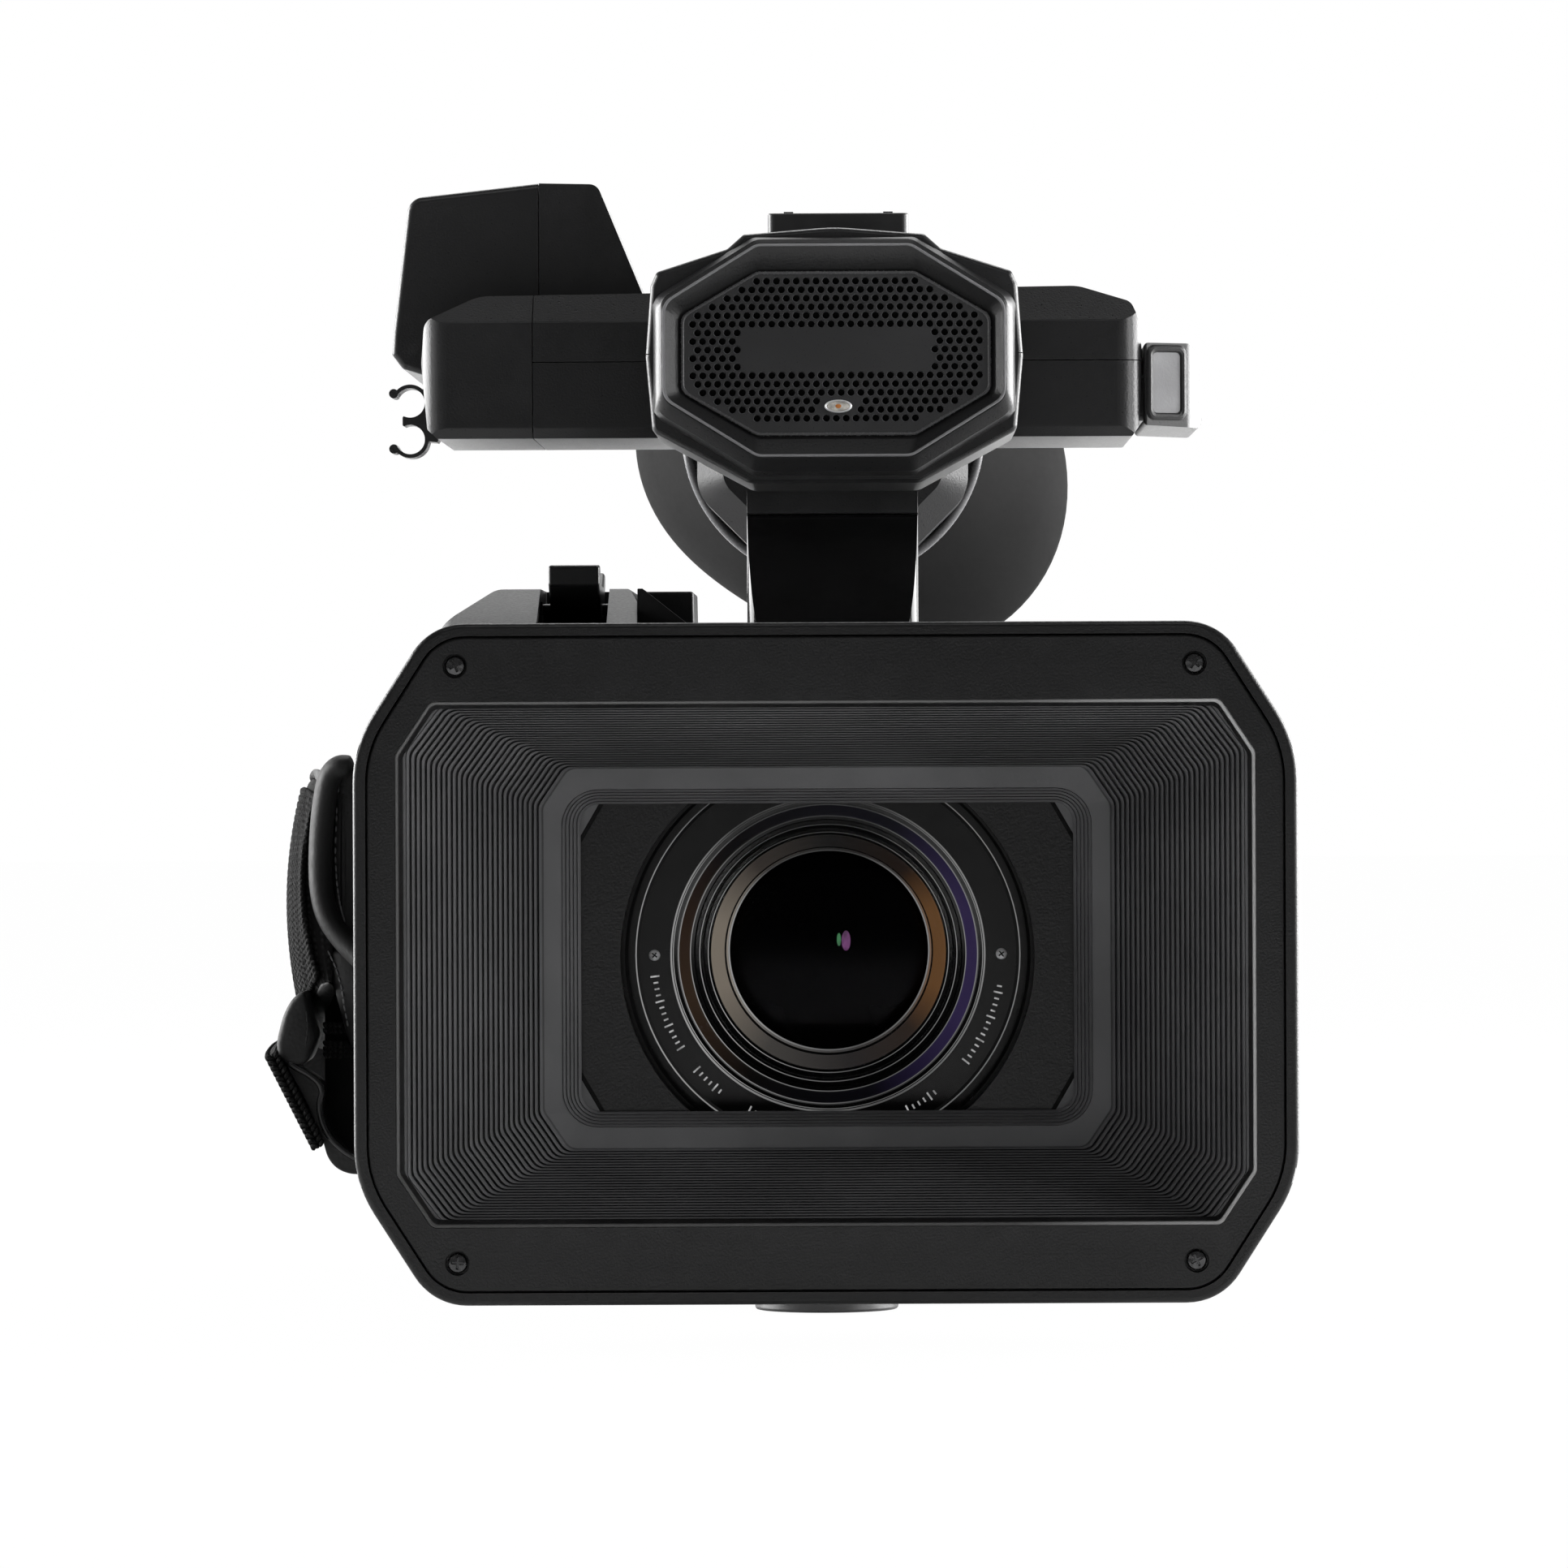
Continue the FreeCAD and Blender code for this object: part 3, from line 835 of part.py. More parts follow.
def cable_clamp():
    """Two C clips that open to the side, joined by a prong, on a foot at the wing's lower left corner."""
    y0, y1 = -46.0, -38.0
    bore, wall, x = 2.5, 0.65, -71.2
    upper_z, lower_z = 154.45, 148.2
    middle = (upper_z + lower_z) / 2
    prong = [(x - 1.3, middle - 0.75), (-68.6, middle - 2.6), (-68.6, middle + 2.6), (x - 1.3, middle + 0.75)]
    clamp = prism(prong, 0.3, "front", y0, y1)
    foot = [(-69.5, 156.8), (-68.6, 156.8), (-67.4, 149.6), (-66.3, 148.2), (-66.6, 147.7), (-68.6, 147.9),
            (-69.2, 150.0)]
    clamp = clamp.fuse(prism(foot, 0.15, "front", y0, y1))
    bores = []
    for z, side in ((upper_z, 1), (lower_z, -1)):
        hole = rod(bore, (x, y0 - 1, z), (x, y1 + 1, z))
        gap = prism([(x, z), (x - 8, z + side * 3.8), (x - 8, z - side * 8), (x - 2.9, z - side * 8)], 0.0,
                    "front", y0 - 1, y1 + 1)
        ring = rod(bore + wall, (x, y0, z), (x, y1, z)).cut(gap)
        bead_x, bead_z = x - 2.8, z + side * 1.6
        bead = rod(0.8, (bead_x, y0, bead_z), (bead_x, y1, bead_z))
        clamp = clamp.fuse([ring, bead])
        bores.append(hole)
    add("cable_clamp", clamp.cut(wing_form(-0.02)).cut(bores).removeSplitter())


# Viewfinder.
EVF_HINGE = (137.0, 176.0)  # y, z of the tilt axis
EVF_Y = (138.0, 172.0)


def viewfinder():
    """Tilting housing with eyepiece lens, dioptre dial and rubber eyecup, and the yoke that carries it."""
    y0, y1 = EVF_Y
    section = octagon(52, 50, 12, 12, (0, EVF_Z))
    housing = prism(section, 8.0, "front", y0 + 4, y1)
    housing = housing.fuse(loft([(inset(section, 5), 5.0, y0), (section, 8.0, y0 + 4)], "front"))
    collar = turned([(0, 0), (29, 0), (29, 5.0), (28, 6.0), (0, 6.0)], (0, y1 - 4, EVF_Z), (0, 1, 0))
    housing = housing.fuse(collar).cut(rod(21, (0, y1 - 22, EVF_Z), (0, y1 + 4, EVF_Z)))
    housing = housing.cut(box(-16, 16, y0 + 3, y1 - 20, EVF_Z - 14, EVF_Z + 12))
    hy, hz = EVF_HINGE
    knuckle = rod(4.0, (-6.5, hy, hz), (8.3, hy, hz)).fuse(box(-6.5, 8.3, hy, y0 + 6, hz - 4, hz + 4))
    bore = rod(1.5 + SLIP, (-20, hy, hz), (20, hy, hz))
    housing = housing.cut(rod(5.2, (-13.5, hy, hz), (15.5, hy, hz)))
    housing = housing.fuse(knuckle).cut(bore)
    housing = housing.cut(rod(1.3, (20, y1 - 10, EVF_Z), (30, y1 - 10, EVF_Z)))
    add("evf_housing", housing.removeSplitter())
    pin = rod(1.5, (-12.9, hy, hz), (14.7, hy, hz))
    ears = []
    for x in (-13, 8.6):
        ear = rod(4.0, (x, hy, hz), (x + 6.2, hy, hz)).fuse(box(x, x + 6.2, 131.2, hy, hz - 4, hz + 2))
        ears.append(ear)
    yoke = ears[0].fuse([ears[1], box(-13, 14.8, 131.15, 132.4, hz - 16, hz + 2)])
    add("evf_yoke", yoke.cut(bar_form(-0.05)).fuse(pin).removeSplitter())
    add("eyepiece_lens", turned([(0, 0), (20.9, 2.0), (20.9, 5.0), (0, 7.0)], (0, y1 - 6, EVF_Z), (0, 1, 0)))
    dial = turned([(0, 0), (1.24, 0), (1.24, 5.2), (4.6, 5.2), (4.6, 7.6), (4.0, 8.0), (0, 8.0)],
                  (21, y1 - 10, EVF_Z), (1, 0, 0))
    add("dioptre_dial", dial)
    eyecup(y1 + 2.0)


EYECUP_LOBES = [(5.0, 22), (2.8, 74), (1.8, 131)]   # swing of the rim radius and its phase, per turn count


def eyecup_reach(angle):
    """Rim radius of the eyecup at an angle from +X: a round cup drawn out low on the control side."""
    reach = 41.4
    for turns, (swing, phase) in enumerate(EYECUP_LOBES, start=1):
        reach += swing * math.cos(turns * angle + math.radians(phase))
    return reach


def eyecup(front):
    """Flared rubber cup: a collar round the eyepiece, then rings that grow to the lopsided rim."""
    collar_r, depth, rim_x = 27.8, 22.0, -0.6

    def ring(share, thickness, y):
        points = []
        for i in range(24):
            angle = 2 * math.pi * i / 24
            radius = collar_r + (eyecup_reach(angle) - collar_r) * share - thickness
            points.append(Vector(rim_x * share + radius * math.cos(angle), y, EVF_Z + radius * math.sin(angle)))
        curve = Part.BSplineCurve()
        curve.interpolate(points, PeriodicFlag=True)
        return Part.Wire(curve.toShape())

    shares = (0.0, 0.0, 0.34, 0.78, 1.0)
    heights = (0.05, 4.0, 9.0, 17.0, depth)
    outer = Part.makeLoft([ring(s, 0.0, front + h) for s, h in zip(shares, heights)], True, True)
    inner = Part.makeLoft([ring(s, 2.6, front + h * 1.04 - 0.5) for s, h in zip(shares, heights)], True, True)
    add("eyecup", outer.cut(inner))


# Strap.
STRAP_PATH = [(-76.5, 3), (-86, 8), (-93, 26), (-95, 56), (-92, 86), (-86, 105), (-77.0, 112)]
WEBBING_PATH = [(-77.5, -3), (-89.5, 4.6), (-97.4, 24), (-98.8, 54), (-96.4, 84)]


def hand_strap():
    """Padded band round the grip, and its webbing."""
    thickness = 3.6
    loop = STRAP_PATH + list(reversed(inset_path(STRAP_PATH, thickness)))
    bends = len(STRAP_PATH) - 2
    radii = [0.4] + [10] * bends + [0.4, 0.4] + [8] * bends + [0.4]
    band = prism(loop, radii, "plan", 30, 92)
    add("strap_pad", eased(band, 1.0, edges_at(band, "plan", 30) + edges_at(band, "plan", 92)))
    web_loop = WEBBING_PATH + list(reversed(inset_path(WEBBING_PATH, 1.8)))
    bends = len(WEBBING_PATH) - 2
    web_radii = [0.3] + [8] * bends + [0.3, 0.3] + [7] * bends + [0.3]
    add("strap_webbing", prism(web_loop, web_radii, "plan", 22, 46))


def inset_path(points, distance):
    """Open path shifted sideways towards the body."""
    shifted = []
    for i, (x, y) in enumerate(points):
        before, after = points[max(i - 1, 0)], points[min(i + 1, len(points) - 1)]
        dx, dy = after[0] - before[0], after[1] - before[1]
        length = math.hypot(dx, dy)
        shifted.append((x + distance * dy / length, y - distance * dx / length))
    return shifted


def export():
    """Writes one STEP per node."""
    os.makedirs("parts", exist_ok=True)
    for old in os.listdir("parts"):
        os.remove(os.path.join("parts", old))
    for name, shape in PARTS.items():
        if not shape.isValid() or not shape.Solids:
            print("CHECK", name, shape.isValid(), len(shape.Solids))
        shape.exportStep(os.path.join("parts", name + ".step"))
    print(len(PARTS), "nodes")


BUILDERS = (hood_shell, hood_frame, hood_baffle, lens_barrel, control_rings, front_group, zoom_group,
            sensor_group, body_covers, left_controls, grip_controls, body_inside, rear_panel, base,
            handle_shells, handle_controls, microphone, accessory_shoe, monitor, audio_cover, cable_clamp,
            viewfinder, hand_strap)
for builder in BUILDERS:
    builder()
export()
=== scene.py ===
"""Looks of the camcorder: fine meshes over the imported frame, materials, studio light and camera."""

import math

import bmesh
import bpy
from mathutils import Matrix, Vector
from mathutils.geometry import delaunay_2d_cdt


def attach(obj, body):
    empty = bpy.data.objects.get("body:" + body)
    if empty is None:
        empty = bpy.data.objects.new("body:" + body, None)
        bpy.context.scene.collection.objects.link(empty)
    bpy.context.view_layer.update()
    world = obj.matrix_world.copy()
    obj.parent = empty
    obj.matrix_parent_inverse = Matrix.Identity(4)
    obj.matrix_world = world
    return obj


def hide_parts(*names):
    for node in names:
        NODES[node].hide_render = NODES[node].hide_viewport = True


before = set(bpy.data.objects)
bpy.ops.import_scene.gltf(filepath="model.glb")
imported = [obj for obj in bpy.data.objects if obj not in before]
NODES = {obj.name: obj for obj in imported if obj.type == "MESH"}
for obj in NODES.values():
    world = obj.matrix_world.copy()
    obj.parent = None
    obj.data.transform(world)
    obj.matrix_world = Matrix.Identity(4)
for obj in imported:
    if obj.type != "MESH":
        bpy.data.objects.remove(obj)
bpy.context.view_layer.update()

# Driving dimensions, in millimetres unless a comment says otherwise.
MM = 0.001                      # one millimetre, in metres
TAU = 2 * math.pi
LENS_Z = 61.0                   # height of the lens axis, which is at X = 0
LENS_CENTRE = (0.0, 0.0, LENS_Z)
HOOD_FRONT = -150.0
HOOD_HALF = (75.15, 54.25)      # half width and half height of the hood's front
NOSE_X = 1.45                   # middle plane of the handle
EVF_Z = 157.0                   # height of the viewfinder axis
CONTROL_FACE_X = 58.0           # flat face of the control side


# Node helpers.
def new_material(name):
    """An empty node material and its principled shader."""
    material = bpy.data.materials.new(name)
    material.use_nodes = True
    return material, material.node_tree.nodes["Principled BSDF"]


def feed(owner, value, target):
    """Sets a socket to a plain value, or links another socket to it."""
    if isinstance(value, bpy.types.NodeSocket):
        owner.node_tree.links.new(value, target)
    else:
        target.default_value = value


def node(owner, kind, inputs=None, **properties):
    """A new node of a material or a world, with its properties and then its inputs set."""
    made = owner.node_tree.nodes.new("ShaderNode" + kind)
    for key, value in properties.items():
        setattr(made, key, value)
    for key, value in (inputs or {}).items():
        feed(owner, value, made.inputs[key])
    return made


def combine(owner, operation, first, second):
    """Result of an operation on two numbers or sockets."""
    return node(owner, "Math", {0: first, 1: second}, operation=operation).outputs[0]


def coordinates(material):
    """Object coordinates, in metres."""
    return node(material, "TexCoord").outputs["Object"]


def noise(material, scale, detail=2.0):
    """Fractal noise of a given scale in cells per metre."""
    inputs = {"Vector": coordinates(material), "Scale": scale, "Detail": detail}
    return node(material, "TexNoise", inputs).outputs["Fac"]


def ramp(material, source, low, high, start=0.35, end=0.65):
    """Maps a factor to a colour between low and high."""
    made = node(material, "ValToRGB", {"Fac": source})
    for element, place, colour in zip(made.color_ramp.elements, (start, end), (low, high)):
        element.position = place
        element.color = colour
    return made.outputs["Color"]


def spread(owner, source, low, high, start=0.0, end=1.0):
    """Maps a value between start and end to a range."""
    inputs = {"Value": source, "From Min": start, "From Max": end, "To Min": low, "To Max": high}
    return node(owner, "MapRange", inputs).outputs["Result"]


def bump(material, shader, height, strength, distance):
    """Adds a bump to the shader, after any bump it has already."""
    made = node(material, "Bump", {"Height": height, "Strength": strength, "Distance": distance})
    normal = shader.inputs["Normal"]
    if normal.links:
        feed(material, normal.links[0].from_socket, made.inputs["Normal"])
    feed(material, made.outputs["Normal"], normal)


def roughen(material, shader, source, low, high):
    """Varies the shader's roughness between two values."""
    feed(material, spread(material, source, low, high), shader.inputs["Roughness"])


def grey(value, tint=(1.0, 1.0, 1.0)):
    """A linear colour from one brightness."""
    return (value * tint[0], value * tint[1], value * tint[2], 1.0)


def opaque(colour, share=1.0):
    """A colour scaled by a share, with its fourth channel."""
    return (*(min(c * share, 1.0) for c in colour), 1.0)


def edge_wear(material, shader, colour, worn, amount):
    """Blends a lighter colour into convex edges, broken up by noise."""
    pointed = node(material, "NewGeometry").outputs["Pointiness"]
    edge = ramp(material, pointed, grey(0.0), grey(1.0), 0.53, 0.6)
    patches = ramp(material, noise(material, 160.0, 4.0), grey(0.0), grey(amount), 0.4, 0.7)
    inputs = {"Factor": 1.0, "A": edge, "B": patches}
    share = node(material, "Mix", inputs, data_type="RGBA", blend_type="MULTIPLY")
    inputs = {"Factor": share.outputs["Result"], "A": colour, "B": worn}
    mixed = node(material, "Mix", inputs, data_type="RGBA")
    feed(material, mixed.outputs["Result"], shader.inputs["Base Color"])


# Kinds of material.
def moulded_plastic(name, value, roughness=0.45, grain=2600.0, grain_depth=0.06, wear=0.25):
    """Grained moulded plastic: spark-eroded texture, cloudy sheen and faint light edges."""
    tint = (1.0, 1.0, 1.03)
    material, shader = new_material(name)
    colour = ramp(material, noise(material, 45.0, 3.0), grey(value * 0.86, tint), grey(value * 1.14, tint))
    edge_wear(material, shader, colour, grey(value * 2.2 + 0.01, tint), wear)
    fine = noise(material, grain)
    roughen(material, shader, fine, roughness - 0.08, roughness + 0.1)
    bump(material, shader, fine, 0.35, grain_depth * MM)
    shader.inputs["Specular IOR Level"].default_value = 0.3
    return material


def coated_metal(name, value, roughness=0.3, metallic=0.0):
    """Lacquered or anodised metal with a fine orange-peel skin."""
    tint = (1.0, 1.0, 1.02)
    material, shader = new_material(name)
    colour = ramp(material, noise(material, 60.0, 4.0), grey(value * 0.9, tint), grey(value * 1.1, tint))
    edge_wear(material, shader, colour, grey(value * 2.5 + 0.03, tint), 0.35)
    fine = noise(material, 1500.0, 3.0)
    roughen(material, shader, fine, roughness - 0.06, roughness + 0.08)
    bump(material, shader, fine, 0.2, 0.02 * MM)
    shader.inputs["Metallic"].default_value = metallic
    return material


def turned_metal(name, value, roughness=0.22):
    """Machined black metal with fine circular tool marks about the lens axis."""
    material, shader = new_material(name)
    shader.inputs["Base Color"].default_value = grey(value)
    axis = (0.0, 0.0, LENS_Z * MM)
    across = (1.0, 0.0, 1.0)
    centred = node(material, "VectorMath", {0: coordinates(material), 1: axis}, operation="SUBTRACT")
    flat = node(material, "VectorMath", {0: centred.outputs["Vector"], 1: across}, operation="MULTIPLY")
    reach = node(material, "VectorMath", {0: flat.outputs["Vector"]}, operation="LENGTH")
    inputs = {"W": reach.outputs["Value"], "Scale": 9000.0, "Detail": 2.0}
    marks = node(material, "TexNoise", inputs, noise_dimensions="1D")
    bump(material, shader, marks.outputs["Fac"], 0.12, 0.02 * MM)
    roughen(material, shader, noise(material, 300.0), roughness - 0.05, roughness + 0.1)
    shader.inputs["Metallic"].default_value = 0.4
    return material


def soft_rubber(name, value, roughness=0.62):
    """Matte rubber with dusty variation."""
    material, shader = new_material(name)
    colour = ramp(material, noise(material, 70.0, 5.0), grey(value * 0.9), grey(value * 1.15))
    feed(material, colour, shader.inputs["Base Color"])
    fine = noise(material, 900.0, 3.0)
    roughen(material, shader, fine, roughness - 0.06, roughness + 0.08)
    bump(material, shader, fine, 0.15, 0.05 * MM)
    shader.inputs["Specular IOR Level"].default_value = 0.12
    return material


def grain_leather(name, value):
    """Synthetic leather: pebbled grain from cell edges, with soft creases."""
    material, shader = new_material(name)
    colour = ramp(material, noise(material, 60.0, 4.0), grey(value * 0.85), grey(value * 1.25))
    feed(material, colour, shader.inputs["Base Color"])
    inputs = {"Vector": coordinates(material), "Scale": 1500.0}
    cells = node(material, "TexVoronoi", inputs, feature="SMOOTH_F1")
    bump(material, shader, cells.outputs["Distance"], 0.5, 0.12 * MM)
    bump(material, shader, noise(material, 220.0, 4.0), 0.3, 0.3 * MM)
    roughen(material, shader, noise(material, 500.0), 0.5, 0.72)
    shader.inputs["Specular IOR Level"].default_value = 0.25
    return material


def woven_cloth(name, value, pitch, depth):
    """Open mesh or twill cloth: a lattice of threads from crossed waves."""
    material, shader = new_material(name)
    threads = None
    scale = 1.0 / (pitch * MM) / 3.3
    for direction in ("X", "Y", "Z"):
        inputs = {"Vector": coordinates(material), "Scale": scale, "Distortion": 0.6, "Detail": 1.0}
        wave = node(material, "TexWave", inputs, wave_type="BANDS", bands_direction=direction).outputs["Fac"]
        threads = combine(material, "MULTIPLY", threads, wave) if threads else wave
    colour = ramp(material, threads, grey(value * 0.35), grey(value * 1.5), 0.05, 0.5)
    feed(material, colour, shader.inputs["Base Color"])
    bump(material, shader, threads, 0.8, depth * MM)
    shader.inputs["Roughness"].default_value = 0.85
    shader.inputs["Specular IOR Level"].default_value = 0.12
    return material


def clear_glass(name, tint):
    """Thin clear glass: seen through straight on, with a tinted mirror sheen that grows towards its edge."""
    material, shader = new_material(name)
    clear = node(material, "BsdfTransparent")
    colour = ramp(material, noise(material, 25.0), grey(0.9, tint), grey(1.0, tint))
    mirror = node(material, "BsdfGlossy", {"Color": colour, "Roughness": 0.02})
    edge = node(material, "Fresnel", {"IOR": 1.05})
    blend = node(material, "MixShader", {"Fac": edge.outputs[0], 1: clear.outputs[0], 2: mirror.outputs[0]})
    feed(material, blend.outputs[0], material.node_tree.nodes["Material Output"].inputs["Surface"])
    material.node_tree.nodes.remove(shader)
    return material


def painted_reflection_glow(name, strength, stops):
    """Dark metal whose emission paints soft coloured reflections and highlights that change with the angle
    about the lens axis.
    Stops are (share of a turn anticlockwise from +X, colour)."""
    material, shader = new_material(name)
    parts = node(material, "SeparateXYZ", {"Vector": coordinates(material)})
    height = combine(material, "SUBTRACT", parts.outputs["Z"], LENS_Z * MM)
    angle = combine(material, "ARCTAN2", height, parts.outputs["X"])
    turns = node(material, "Math", {0: angle, 1: 1.0 / TAU, 2: 1.0}, operation="MULTIPLY_ADD")
    share = node(material, "Math", {0: turns.outputs[0]}, operation="FRACT")
    bands = node(material, "ValToRGB", {"Fac": share.outputs[0]})
    elements = bands.color_ramp.elements
    for element in elements:
        element.color = opaque(stops[0][1])
    for place, colour in stops[1:]:
        elements.new(place).color = opaque(colour)
    feed(material, bands.outputs["Color"], shader.inputs["Emission Color"])
    shader.inputs["Emission Strength"].default_value = strength
    shader.inputs["Base Color"].default_value = grey(0.01)
    roughen(material, shader, noise(material, 400.0), 0.25, 0.4)
    return material


def side_lit_edge(name, low, high):
    """Smooth edge plastic with a painted highlight that grows paler towards +X."""
    material, shader = new_material(name)
    parts = node(material, "SeparateXYZ", {"Vector": coordinates(material)})
    across = spread(material, parts.outputs["X"], 0.0, 1.0, 0.03, 0.07)
    feed(material, ramp(material, across, grey(low), grey(high), 0.0, 1.0), shader.inputs["Base Color"])
    roughen(material, shader, noise(material, 900.0), 0.25, 0.4)
    return material


def glow_spot(name, colour, strength):
    """Small coloured emission in a dark setting: the tally lamp's own light, and painted glints and glow
    where there is no lamp.
    """
    material, shader = new_material(name)
    shader.inputs["Base Color"].default_value = grey(0.002)
    glow = ramp(material, noise(material, 900.0), opaque(colour, 0.4), opaque(colour))
    feed(material, glow, shader.inputs["Emission Color"])
    shader.inputs["Emission Strength"].default_value = strength
    return material


def gloss(name, colour, roughness=0.12, specular=0.5):
    """Polished plastic with faint swirls."""
    material, shader = new_material(name)
    swirls = ramp(material, noise(material, 90.0), opaque(colour, 0.9), opaque(colour, 1.1))
    feed(material, swirls, shader.inputs["Base Color"])
    roughen(material, shader, noise(material, 700.0, 4.0), roughness - 0.04, roughness + 0.06)
    shader.inputs["Specular IOR Level"].default_value = specular
    return material


# Plastics, metals and rubbers.
case = moulded_plastic("case_plastic", 0.013, 0.3, 2800.0, 0.1)
grip_skin = moulded_plastic("grip_plastic", 0.010, 0.42, 1900.0, 0.07)
hood_skin = moulded_plastic("hood_plastic", 0.006, 0.32, 2600.0, 0.13)
# The funnel is the hood's plastic painted far paler, as painted light, and the flat grooves between its ribs
# are darker, as painted shade.
funnel_lit_skin = moulded_plastic("funnel_lit_plastic", 0.095, 0.62, 2600.0, 0.03, wear=0.1)
groove_shade_skin = moulded_plastic("groove_shade_plastic", 0.05, 0.7, 2600.0, 0.03, wear=0.0)
leg_skin = moulded_plastic("gloss_case_plastic", 0.002, 0.16, 2600.0, 0.01)
button_skin = moulded_plastic("button_plastic", 0.014, 0.34, 2600.0, 0.03)
# Pale grained plastic for the monitor pull's slanted face: a painted reflection of the light from the right.
pale_reflection_skin = moulded_plastic("pale_reflection_plastic", 0.12, 0.4, 2400.0, 0.05)
battery_skin = moulded_plastic("battery_plastic", 0.012, 0.45, 1800.0, 0.06)
fan_skin = moulded_plastic("fan_plastic", 0.02, 0.5)
# Black foam behind the grille, also used as painted shade for the gaps in the hood funnel's corners.
foam_and_shade_skin = moulded_plastic("mic_foam_and_painted_shade", 0.001, 0.95)
lip_skin = moulded_plastic("lip_plastic", 0.012, 0.2, 2600.0, 0.01)
# Pale bead round the microphone's mouth: a painted highlight.
edge_highlight_skin = moulded_plastic("edge_highlight_plastic", 0.16, 0.2, 2600.0, 0.01, wear=0.0)
# Paler copy of the grille's finish for hole chamfers and the plate's edge: painted highlights.
chamfer_highlight_skin = moulded_plastic("chamfer_highlight_plastic", 0.055, 0.25, 2600.0, 0.005, wear=0.0)
# Pale bead by the eyecup's collar: a painted highlight.
collar_highlight_skin = moulded_plastic("collar_highlight_plastic", 0.08, 0.25, 2600.0, 0.01, wear=0.0)
# Pale beads on the hood's edges: painted highlights, paler towards +X.
frame_edge_highlight_skin = side_lit_edge("frame_edge_highlight_plastic", 0.05, 0.32)
grille_skin = moulded_plastic("grille_metal", 0.028, 0.3, 5200.0, 0.002, wear=0.0)
base_skin = coated_metal("base_metal", 0.012, 0.36)
frame_skin = coated_metal("frame_metal", 0.02, 0.34, 0.15)
socket_skin = coated_metal("socket_metal", 0.1, 0.3, 0.9)
screw_skin = coated_metal("screw_steel", 0.05, 0.25, 0.8)
small_screw_skin = coated_metal("small_screw_steel", 0.45, 0.3, 0.2)
rim_metal = coated_metal("rim_metal", 0.6, 0.3, 0.3)
lens_skin = turned_metal("lens_metal", 0.004)
inner_skin = turned_metal("inner_lens_metal", 0.003, 0.18)
ring_skin = soft_rubber("ring_rubber", 0.010, 0.5)
cup_skin = soft_rubber("cup_rubber", 0.005, 0.8)
flap_skin = soft_rubber("flap_rubber", 0.012)

# Strap.
leather = grain_leather("strap_leather", 0.006)
mesh_cloth = woven_cloth("strap_mesh", 0.007, 1.2, 0.5)
webbing_cloth = woven_cloth("strap_webbing", 0.008, 0.9, 0.3)
thread_skin = gloss("thread", (0.06, 0.06, 0.062), 0.5)

# Boards, buttons, screen and lamp.
board_skin = gloss("circuit_board", (0.02, 0.12, 0.05), 0.3)
red_skin = gloss("record_red", (0.45, 0.01, 0.01), 0.25)
screen_skin = gloss("screen_gloss", (0.006, 0.006, 0.008), 0.08)
mark_skin = gloss("white_mark", (0.75, 0.75, 0.74), 0.4)
amber_skin = gloss("amber_lamp", (0.4, 0.14, 0.03), 0.15)
lamp_glow = glow_spot("lamp_glow", (0.8, 0.77, 0.7), 0.5)

# Glass, and painted reflections and highlights in and round it.
# Colours of the painted coating reflections.
CREAM, ORANGE, VIOLET, BLACK = (1.0, 0.86, 0.7), (0.62, 0.3, 0.12), (0.16, 0.1, 0.42), (0.01, 0.01, 0.01)
# Painted highlights on the lens's bright edges, given as (share of a turn, brightness).
EDGE_HIGHLIGHT_LEVELS = [(0.0, 0.7), (0.1, 0.6), (0.2, 0.12), (0.35, 0.15), (0.43, 0.8), (0.6, 1.0), (0.7, 0.5),
               (0.8, 0.25), (0.92, 0.5)]
lens_glass = clear_glass("lens_glass", (0.75, 0.72, 1.0))
# Near black glass for the zoom group: painted shade for the dark inside of the lens.
shaded_deep_glass = gloss("shaded_deep_glass", (0.0008, 0.0008, 0.001), 0.1, 0.03)
# Painted coloured reflections of the lens coatings on the cone and band, and painted highlights on bright
# edges.
cone_reflection_skin = painted_reflection_glow("cone_painted_reflection", 0.16, [
    (0.0, ORANGE), (0.06, ORANGE), (0.13, (0.07, 0.045, 0.035)), (0.25, (0.05, 0.05, 0.05)),
    (0.36, (0.2, 0.17, 0.15)), (0.46, CREAM), (0.55, CREAM), (0.66, (0.3, 0.28, 0.26)),
    (0.78, (0.12, 0.11, 0.11)), (0.88, (0.14, 0.1, 0.08)), (0.95, ORANGE)])
violet_reflection_skin = painted_reflection_glow("violet_painted_reflection", 0.11, [
    (0.0, VIOLET), (0.05, VIOLET), (0.17, (0.01, 0.01, 0.03)), (0.38, BLACK), (0.47, (0.14, 0.08, 0.05)),
    (0.55, (0.2, 0.12, 0.07)), (0.66, BLACK), (0.8, (0.01, 0.01, 0.02)), (0.93, VIOLET)])
lens_highlight_skin = painted_reflection_glow("painted_lens_edge_highlight", 0.3, [(place, (level,) * 3) for place, level in EDGE_HIGHLIGHT_LEVELS])
# Painted glints in the zoom glass.
violet_painted_glint = glow_spot("violet_painted_glint", (0.4, 0.12, 0.4), 0.35)
green_painted_glint = glow_spot("green_painted_glint", (0.1, 0.4, 0.16), 0.4)
# White index print that also glows: partly print, partly painted light.
ring_mark_skin = glow_spot("ring_marks", (1.0, 1.0, 1.0), 0.45)

